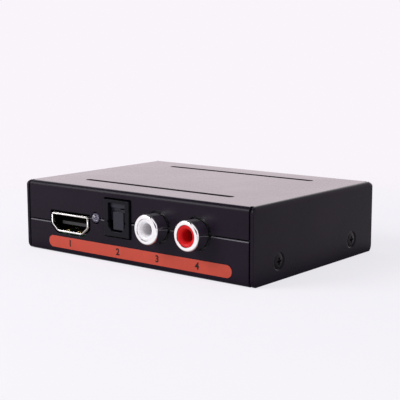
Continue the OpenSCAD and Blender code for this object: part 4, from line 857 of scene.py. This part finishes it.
def make_led():
    """Clear lens with its flange, and the lead frame that is cast into it"""
    dome = [math.radians(a) for a in range(9, 91, 9)]
    lens = turned("led_lens", (LED_X, -HALF_D, SEAM), (0, 1, 0),
                  [(0, -0.9)] + [(LED_R * math.sin(a), 0.6 - LED_R * math.cos(a)) for a in dome]
                  + [(LED_R, 4.1), (LED_FLANGE_R, 4.1), (LED_FLANGE_R, 5.1), (0, 5.1)], 48)
    soften(lens, 0.05, 2)
    done(lens, "led_clear", "case", "status_led")
    cup = turned("led_frame", (LED_X - 0.45, -HALF_D, SEAM), (0, 1, 0),
                 [(0, 1.25), (0.25, 1.2), (0.5, 0.85), (0.6, 0.85), (0.5, 2.4), (0.22, 2.9), (0.22, 5.3),
                  (0, 5.3)], 24)
    smooth_below(cup, 40)
    post = end_block("post", FRONT, LED_X + 0.7, 0.45, 1.3, 5.3, SEAM - LEAD_HALF, SEAM + LEAD_HALF)
    choose(post, "FACE", lambda c, n: n.y < -0.9)
    bpy.ops.mesh.inset(thickness=0.08 * MM, depth=0.1 * MM)
    parts = [soften(post, 0.04, 2)]
    for side in (-1, 1):
        lead = end_block("lead", FRONT, LED_X + side * LED_LEAD_X, 2 * LEAD_HALF, 5.1, 6.65,
                         SEAM - LEAD_HALF, SEAM + LEAD_HALF)
        choose(lead, "FACE", lambda c, n: n.y > 0.9)
        draw_out(y=0.5)
        choose(lead, "FACE", lambda c, n: n.z < -0.9 and c.y > -HALF_D + 6.7)
        draw_out(z=LEG_LOW - (SEAM - LEAD_HALF))
        parts.append(soften(lead, 0.06, 2))
    done(joined(cup, *parts), "tinned", "case", "led_leads")


def make_optical_housing():
    """Housing with its shaped mouth, the flap's room behind it and its locating pegs"""
    housing = end_block("optical_frame", FRONT, OPTICAL_X, OPTICAL_W, -OPTICAL_OUT, OPTICAL_DEEP,
                        OPTICAL_LOW, OPTICAL_HIGH)
    foot = end_block("foot", FRONT, OPTICAL_X, OPTICAL_W, 2.35, OPTICAL_DEEP, BOARD_TOP, OPTICAL_LOW)
    add_to(housing, foot)
    mouth = end_block("mouth", FRONT, OPTICAL_X, MOUTH_W, OUTSIDE, MOUTH_IN, MOUTH_LOW, MOUTH_HIGH)
    round_along_y(mouth, 1.3, lambda c: c.z < MOUTH_LOW + 0.9, 1)
    notches = []
    for side in (-1, 1):
        notch = end_block("notch", FRONT, OPTICAL_X + side * MOUTH_W / 2, NOTCH_W, OUTSIDE, MOUTH_IN,
                          NOTCH_LOW, NOTCH_HIGH)
        round_along_y(notch, 0.2, steps=2)
        notches.append(notch)
    cavity = end_block("cavity", FRONT, OPTICAL_X, 7.2, 0.6, 8.9, 8.8, MOUTH_HIGH)
    back = end_block("back", FRONT, OPTICAL_X, 5.6, 10.2, 14, 6, 15.85)
    window = turned("window", (OPTICAL_X, -HALF_D, 12.95), (0, 1, 0), rod(1.3, 8, 11), 32)
    bore = turned("bore", (OPTICAL_X - 6, deep(FRONT, HINGE_IN), HINGE_Z), (1, 0, 0), rod(0.43, 0, 12), 20)
    cut_away(housing, mouth, *notches, cavity, back, window, bore)
    soften(housing, 0.14, 3)
    pegs = [turned("peg", (OPTICAL_X + side * 3.3, deep(FRONT, 3.75), BOARD_TOP), (0, 0, -1),
                   [(0, 0), (0.7, 0), (0.7, 1.0), (0.5, 1.2), (0, 1.2)], 20) for side in (-1, 1)]
    done(joined(housing, *pegs), "optical_black", "case", "optical_housing")


def make_shutter():
    """Sprung flap with its raised slab, the bar over it, and the barrel that turns on the pin"""
    left = OPTICAL_X - FLAP_W / 2
    flap = end_block("shutter_flap", FRONT, OPTICAL_X, FLAP_W, FLAP_IN, FLAP_BACK, FLAP_LOW, FLAP_HIGH)
    ear = end_block("ear", FRONT, left + EAR_W / 2, EAR_W, FLAP_IN, FLAP_BACK, FLAP_HIGH - 0.1, HINGE_Z)
    hinge = (left, deep(FRONT, HINGE_IN), HINGE_Z)
    barrel = turned("barrel", hinge, (1, 0, 0),
                    [(0.45, 0), (0.65, 0), (0.65, EAR_W), (0.45, EAR_W), (0.45, 0)], 32)
    smooth_below(barrel, 40)
    slab = end_block("slab", FRONT, OPTICAL_X + 0.35, 3.9, -0.1, 1.2, 9.6, 14.6)
    round_along_y(slab, 0.35)
    bar = end_block("bar", FRONT, OPTICAL_X, 5.9, 0.3, 0.88, 15.7, 16.95)
    round_along_y(bar, 0.2, steps=2)
    web = end_block("web", FRONT, OPTICAL_X - 1.25, 3.4, 0.78, 1.0, 14.9, 15.9)
    add_to(flap, ear, slab, web, bar)
    groove = end_block("groove", FRONT, OPTICAL_X - 1.85, 0.6, 0.3, 1.5, 9.9, 14.5)
    pin_room = turned("pin_room", hinge, (1, 0, 0), rod(0.5, -0.3, 4.7), 24)
    cut_away(flap, groove, pin_room)
    soften(flap, 0.07, 2)
    done(joined(flap, barrel), "shutter_black", "shutter", "optical_shutter")


def make_phono_jacks():
    """Plated barrel with its rounded front ring and tag, and the bush inside it; the right jack is a copy"""
    at = (PHONO_LEFT_X, -HALF_D, SEAM)
    barrel = turned("phono_left_barrel", at, (0, 1, 0),
                    [(2.95, -3.7), (2.95, -4.82), (3.03, -PHONO_OUT)]
                    + arc(PHONO_R - PHONO_LIP_R, PHONO_LIP_R - PHONO_OUT, PHONO_LIP_R, -90, 0, 7)
                    + [(PHONO_R, -0.3), (4.0, -0.2), (3.6, -0.2), (3.6, 6.0), (3.1, 6.0), (3.1, -3.7),
                       (2.95, -3.7)], 96)
    smooth_below(barrel, 35)
    joined(barrel, solder_leg(FRONT, PHONO_LEFT_X, 2, 5.5, 6.0, SEAM - 3.35, (0.55, 1, 1), 0.05))
    bush = turned("phono_left_bush", at, (0, 1, 0),
                  [(PHONO_BORE_R, -3.95), (1.76, -4.1), (1.95, -4.35), (2.15, -4.55), (2.35, -4.66)]
                  + arc(2.8, -4.62, 0.12, -110, 0, 4)
                  + [(2.92, -3.67), (3.05, -3.67), (3.05, 5.2), (2.45, 5.2), (2.45, 1.0), (PHONO_BORE_R, 1.0),
                     (PHONO_BORE_R, -3.95)], 96)
    smooth_below(bush, 32)
    pitch = PHONO_RIGHT_X - PHONO_LEFT_X
    right_barrel = copied(barrel, "phono_right_barrel", x=pitch)
    right_bush = copied(bush, "phono_right_bush", x=pitch)
    done(barrel, "phono_plate", "case", "phono_left_ring")
    done(bush, "phono_white", "case", "phono_left_insert")
    done(right_barrel, "phono_plate", "case", "phono_right_ring")
    done(right_bush, "phono_red", "case", "phono_right_insert")


def make_power():
    """Arched socket body with a bevelled bore, and its split pin"""
    body = end_block("power_socket", REAR, POWER_X, POWER_W, POWER_IN, POWER_DEEP, BOARD_TOP, POWER_HIGH)
    round_along_y(body, POWER_W / 2 - 0.1, lambda c: c.z > BOARD_TOP + 5, 12)
    axis = (POWER_X, deep(REAR, 0), POWER_Z)
    cut_away(body, turned("bore", axis, (0, -1, 0),
                          [(0, 0), (3.75, 0.9), (POWER_BORE_R, 1.85), (POWER_BORE_R, 10.8), (0, 10.8)], 64),
             turned("seat", axis, (0, -1, 0), rod(1.04, 10, 13.95), 32),
             end_block("leaf_room", REAR, POWER_X, 2.4, 2.2, 10.05, BOARD_TOP - 0.5, POWER_Z),
             end_block("tag_room", REAR, POWER_X, 2.3, 13.25, 16, BOARD_TOP - 0.5, POWER_Z + 2))
    soften(body, 0.12, 3)
    done(body, "jack_black", "case", "power_jack_body")
    tip = [math.radians(a) for a in range(15, 91, 15)]
    pin = turned("power_pin", axis, (0, -1, 0),
                 [(0, 2.3)] + [(POWER_PIN_R * math.sin(a), 3.3 - POWER_PIN_R * math.cos(a)) for a in tip]
                 + [(POWER_PIN_R, 13.9), (0, 13.9)], 32)
    cut_away(pin, end_block("slit", REAR, POWER_X, 0.22, 2, 8, POWER_Z - 1.5, POWER_Z + 1.5))
    soften(pin, 0.04, 2)
    tag = solder_leg(REAR, POWER_X, 2, 13.4, 13.9, POWER_Z + 1, (0.55, 1, 1), 0.05)
    done(joined(pin, tag), "jack_plate", "case", "power_jack_pin")


def make_switch():
    """Folded steel shell with its slot and legs, and the ribbed knob"""
    shell = end_block("switch_shell", REAR, SWITCH_X, SWITCH_W, 1.3, SWITCH_DEEP, SWITCH_LOW, SWITCH_HIGH)
    round_along_y(shell, 0.5)
    choose(shell, "FACE", lambda c, n: n.y < -0.9)
    bpy.ops.mesh.delete(type="FACE")
    apply(shell, "SOLIDIFY", thickness=SWITCH_WALL * MM, offset=-1, use_even_offset=True)
    cut_away(shell, end_block("slot", REAR, SWITCH_X, KNOB_SLOT_W, 0.5, THROUGH, KNOB_Z - KNOB_SLOT_HALF,
                              KNOB_Z + KNOB_SLOT_HALF))
    legs = [solder_leg(REAR, SWITCH_X + side * (SWITCH_W - SWITCH_WALL) / 2, SWITCH_WALL, 2.8, 4.0,
                       BOARD_TOP + 1.5, (1, 0.5, 1), 0.04) for side in (-1, 1)]
    soften(shell, 0.07, 2)
    done(joined(shell, *legs), "switch_steel", "case", "mode_switch_case")

    knob = end_block("slide_knob", REAR, SWITCH_X, 3, -2.2, 2.2, KNOB_Z - 1, KNOB_Z + 1)
    add_to(knob, end_block("foot", REAR, SWITCH_X, 7.2, 2.0, 4.15, KNOB_Z - 1.8, KNOB_Z + 1.8))
    for step in (-0.9, -0.3, 0.3, 0.9):
        cut_away(knob, end_block("rib", REAR, SWITCH_X + step, 0.28, -2.6, -1.95, KNOB_Z - 2, KNOB_Z + 2))
    soften(knob, 0.08, 2)
    done(knob, "knob_black", "mode_knob", "mode_switch_knob")


# Floor, light and camera
BACKDROP = (0.947, 0.905, 0.956, 1)
FLOOR_GLOW, FLOOR_PAPER = (0.94, 0.925, 0.97, 1), (0.27, 0.265, 0.275, 1)
FLOOR_MIRRORED = (1.0, 0.965, 1.0, 1)
GLOSS_LOW, SOFT_LIGHT, SOFT_STRENGTH = (1.0, 0.87, 0.935, 1), (0.96, 0.95, 1.0, 1), 0.5

# Floor: its size in metres, how strongly it glows, and how much gloss sees its mirrored side
FLOOR_R, FLOOR_STRENGTH, MIRRORED_SHARE = 1.2, 0.755, 0.85

# What gloss sees of the floor, in metres, and where the floor fades out for the camera
# Painted contact shadow at the case's foot, and painted shade to its right, in the floor that gloss sees
DIM_FROM, DIM_TO, RIGHT_PAINTED_SHADE = 0.042, 0.047, 0.68
FOOT_FROM, FOOT_TO, FOOT_PAINTED_SHADOW = 0.002, 0.012, 0.05
FADE_FROM, FADE_TO = 0.075, 0.2

# What gloss sees of the room: a ceiling that is dark but for the front right, and a dark patch there.
# Turns are in radians from the right, heights are the upward part of the direction, and the hue follows them
CEILING_FROM, CEILING_TO, CEILING_DARK = 0.55, 0.72, 0.06
OPEN_TURN, OPEN_FROM, OPEN_TO = -0.75, 0.8, 0.95
PATCH_TURN, PATCH_BESIDE_FROM, PATCH_BESIDE_TO, PATCH_DARK = -1.1, 0.45, 0.52, 0.04
PATCH_HEIGHT, PATCH_OVER_FROM, PATCH_OVER_TO = 0.3, 0.2, 0.26
HUE_FROM, HUE_TO = 0.2, 0.35

# Key light, in metres and degrees, its azimuth from the front towards the right
KEY_AZIMUTH, KEY_ELEVATION, KEY_FAR, KEY_WIDTH, KEY_HEIGHT, KEY_RADIANCE = -39, 30, 0.7, 0.4, 0.3, 8.0

# Camera, as fitted to the photograph: pixels, mm and degrees, its azimuth likewise
PHOTO_WIDTH, PHOTO_FOCAL, SENSOR = 400, 1017.0, 36
CAMERA_AZIMUTH, CAMERA_ELEVATION, CAMERA_ROLL = 38.86, 9.15, -0.11
CAMERA_PLACE = (186.57, -230.62, 62.48)


def way_of(tree, operation, *terms):
    """The result of a sum with places"""
    node = put(tree, "ShaderNodeVectorMath", dict(enumerate(terms)), operation=operation)
    return node.outputs["Value" if operation == "LENGTH" else "Vector"]


def either(tree, share, first, second):
    """A mix of two shaders"""
    return put(tree, "ShaderNodeMixShader", {0: share, 1: first, 2: second}).outputs[0]


def painted_floor_shade(tree, where):
    """How bright gloss sees the floor: a painted shadow close to the case's foot, and painted shade to its
    right
    """
    across = put(tree, "ShaderNodeSeparateXYZ", {0: where}).outputs["X"]
    beside = ramp(tree, across, DIM_FROM, DIM_TO, 1.0, RIGHT_PAINTED_SHADE)
    span = way_of(tree, "ABSOLUTE", where)
    past = way_of(tree, "SUBTRACT", span, (HALF_W * MM, HALF_D * MM, 0))
    gap = way_of(tree, "LENGTH", way_of(tree, "MAXIMUM", past, (0, 0, 0)))
    return worked(tree, "MULTIPLY", beside, ramp(tree, gap, FOOT_FROM, FOOT_TO, FOOT_PAINTED_SHADOW, 1.0))


def make_floor():
    """Pale floor that melts into the backdrop a hand's width from the case, and keeps the shadow"""
    clear()
    bpy.ops.mesh.primitive_circle_add(vertices=96, radius=FLOOR_R, fill_type="NGON",
                                      location=(0, 0, -0.02 * MM))
    floor = settle("floor")
    made = bpy.data.materials.new("floor_paper")
    made.use_nodes = True
    tree = made.node_tree
    tree.nodes.clear()
    out = tree.nodes.new("ShaderNodeOutputMaterial")
    where = on_piece(tree)
    glow = put(tree, "ShaderNodeEmission", {"Color": FLOOR_GLOW, "Strength": FLOOR_STRENGTH}).outputs[0]
    paper = put(tree, "ShaderNodeBsdfDiffuse", {"Color": FLOOR_PAPER}).outputs[0]
    lit = put(tree, "ShaderNodeAddShader", {0: glow, 1: paper}).outputs[0]
    # Gloss sees this floor, with its painted shadow and shade, in place of the lit one
    mirrored = {"Color": FLOOR_MIRRORED, "Strength": painted_floor_shade(tree, where)}
    plain = put(tree, "ShaderNodeEmission", mirrored).outputs[0]
    path = put(tree, "ShaderNodeLightPath").outputs
    top = either(tree, worked(tree, "MULTIPLY", path["Is Glossy Ray"], MIRRORED_SHARE), lit, plain)
    far = way_of(tree, "LENGTH", where)
    faded = worked(tree, "MULTIPLY", ramp(tree, far, FADE_FROM, FADE_TO, smooth=True), path["Is Camera Ray"])
    under = put(tree, "ShaderNodeNewGeometry").outputs["Backfacing"]
    gone = worked(tree, "MAXIMUM", faded, under)
    nothing = put(tree, "ShaderNodeBsdfTransparent").outputs[0]
    feed(tree, out.inputs["Surface"], either(tree, gone, top, nothing))
    floor.data.materials.append(made)


def off_by(tree, value, middle):
    """How far a value is from a middle one"""
    return worked(tree, "ABSOLUTE", worked(tree, "SUBTRACT", value, middle))


def make_world():
    """Even backdrop for the camera, soft light all round, and a room with dark parts for gloss"""
    world = bpy.data.worlds.new("studio")
    bpy.context.scene.world = world
    world.use_nodes = True
    tree = world.node_tree
    tree.nodes.clear()
    out = tree.nodes.new("ShaderNodeOutputWorld")
    plain = put(tree, "ShaderNodeBackground", {"Color": BACKDROP, "Strength": 1.0}).outputs[0]
    soft = put(tree, "ShaderNodeBackground", {"Color": SOFT_LIGHT, "Strength": SOFT_STRENGTH}).outputs[0]
    way = put(tree, "ShaderNodeTexCoord").outputs["Generated"]
    parts = put(tree, "ShaderNodeSeparateXYZ", {0: way}).outputs
    turn = worked(tree, "ARCTAN2", parts["Y"], parts["X"])
    height = parts["Z"]
    ceiling = ramp(tree, height, CEILING_FROM, CEILING_TO, 1.0, CEILING_DARK, smooth=True)
    opened = ramp(tree, off_by(tree, turn, OPEN_TURN), OPEN_FROM, OPEN_TO, 1.0, 0.0)
    patch_beside = ramp(tree, off_by(tree, turn, PATCH_TURN), PATCH_BESIDE_FROM, PATCH_BESIDE_TO,
                        PATCH_DARK, 1.0)
    patch_over = ramp(tree, off_by(tree, height, PATCH_HEIGHT), PATCH_OVER_FROM, PATCH_OVER_TO)
    patch = worked(tree, "MAXIMUM", patch_beside, patch_over)
    level = worked(tree, "MULTIPLY", worked(tree, "MAXIMUM", ceiling, opened), patch)
    hue = mixed(tree, ramp(tree, height, HUE_FROM, HUE_TO), GLOSS_LOW, BACKDROP)
    gloss = put(tree, "ShaderNodeBackground", {"Color": hue, "Strength": level}).outputs[0]
    path = put(tree, "ShaderNodeLightPath").outputs
    shiny = worked(tree, "MAXIMUM", path["Is Glossy Ray"], path["Is Transmission Ray"])
    light = either(tree, shiny, soft, gloss)
    feed(tree, out.inputs["Surface"], either(tree, path["Is Camera Ray"], light, plain))


def make_key_light():
    """Softbox at the front left, aimed at the case"""
    a, e = math.radians(KEY_AZIMUTH), math.radians(KEY_ELEVATION)
    way = Vector((math.sin(a) * math.cos(e), -math.cos(a) * math.cos(e), math.sin(e)))
    clear()
    bpy.ops.object.light_add(type="AREA", location=way * KEY_FAR + Vector((0, 0, 0.01)),
                             rotation=way.to_track_quat("Z", "Y").to_euler())
    lamp = bpy.context.object
    lamp.name = "key"
    lamp.data.shape, lamp.data.size, lamp.data.size_y = "RECTANGLE", KEY_WIDTH, KEY_HEIGHT
    lamp.data.energy = KEY_RADIANCE * math.pi * KEY_WIDTH * KEY_HEIGHT
    lamp.visible_camera = False


def make_camera():
    """The photograph's view, as fitted to the corners of the case"""
    azimuth, elevation = math.radians(CAMERA_AZIMUTH), math.radians(CAMERA_ELEVATION)
    roll = math.radians(CAMERA_ROLL)
    ahead = Vector((-math.sin(azimuth) * math.cos(elevation), math.cos(azimuth) * math.cos(elevation),
                    -math.sin(elevation)))
    level = Vector((math.cos(azimuth), math.sin(azimuth), 0))
    upright = level.cross(ahead)
    right = level * math.cos(roll) + upright * math.sin(roll)
    up = upright * math.cos(roll) - level * math.sin(roll)
    data = bpy.data.cameras.new("camera")
    data.sensor_width, data.sensor_fit = SENSOR, "HORIZONTAL"
    data.lens = PHOTO_FOCAL / PHOTO_WIDTH * SENSOR
    data.clip_start = 0.01
    camera = bpy.data.objects.new("camera", data)
    bpy.context.scene.collection.objects.link(camera)
    place = Matrix((right, up, -ahead)).transposed().to_4x4()
    place.translation = Vector(CAMERA_PLACE) * MM
    camera.matrix_world = place
    bpy.context.scene.camera = camera


case_openings = end_cutters()
make_cover(case_openings)
make_tray(case_openings)
make_cover_screws()
make_label()
make_video_cans()
make_led()
make_optical_housing()
make_shutter()
make_phono_jacks()
make_power()
make_switch()
for kept_node, (kept_slot, kept_rounding) in KEPT_NODES.items():
    keep(kept_node, kept_slot, kept_rounding)
make_floor()
make_world()
make_key_light()
make_camera()
bpy.context.scene.view_settings.view_transform = "Standard"
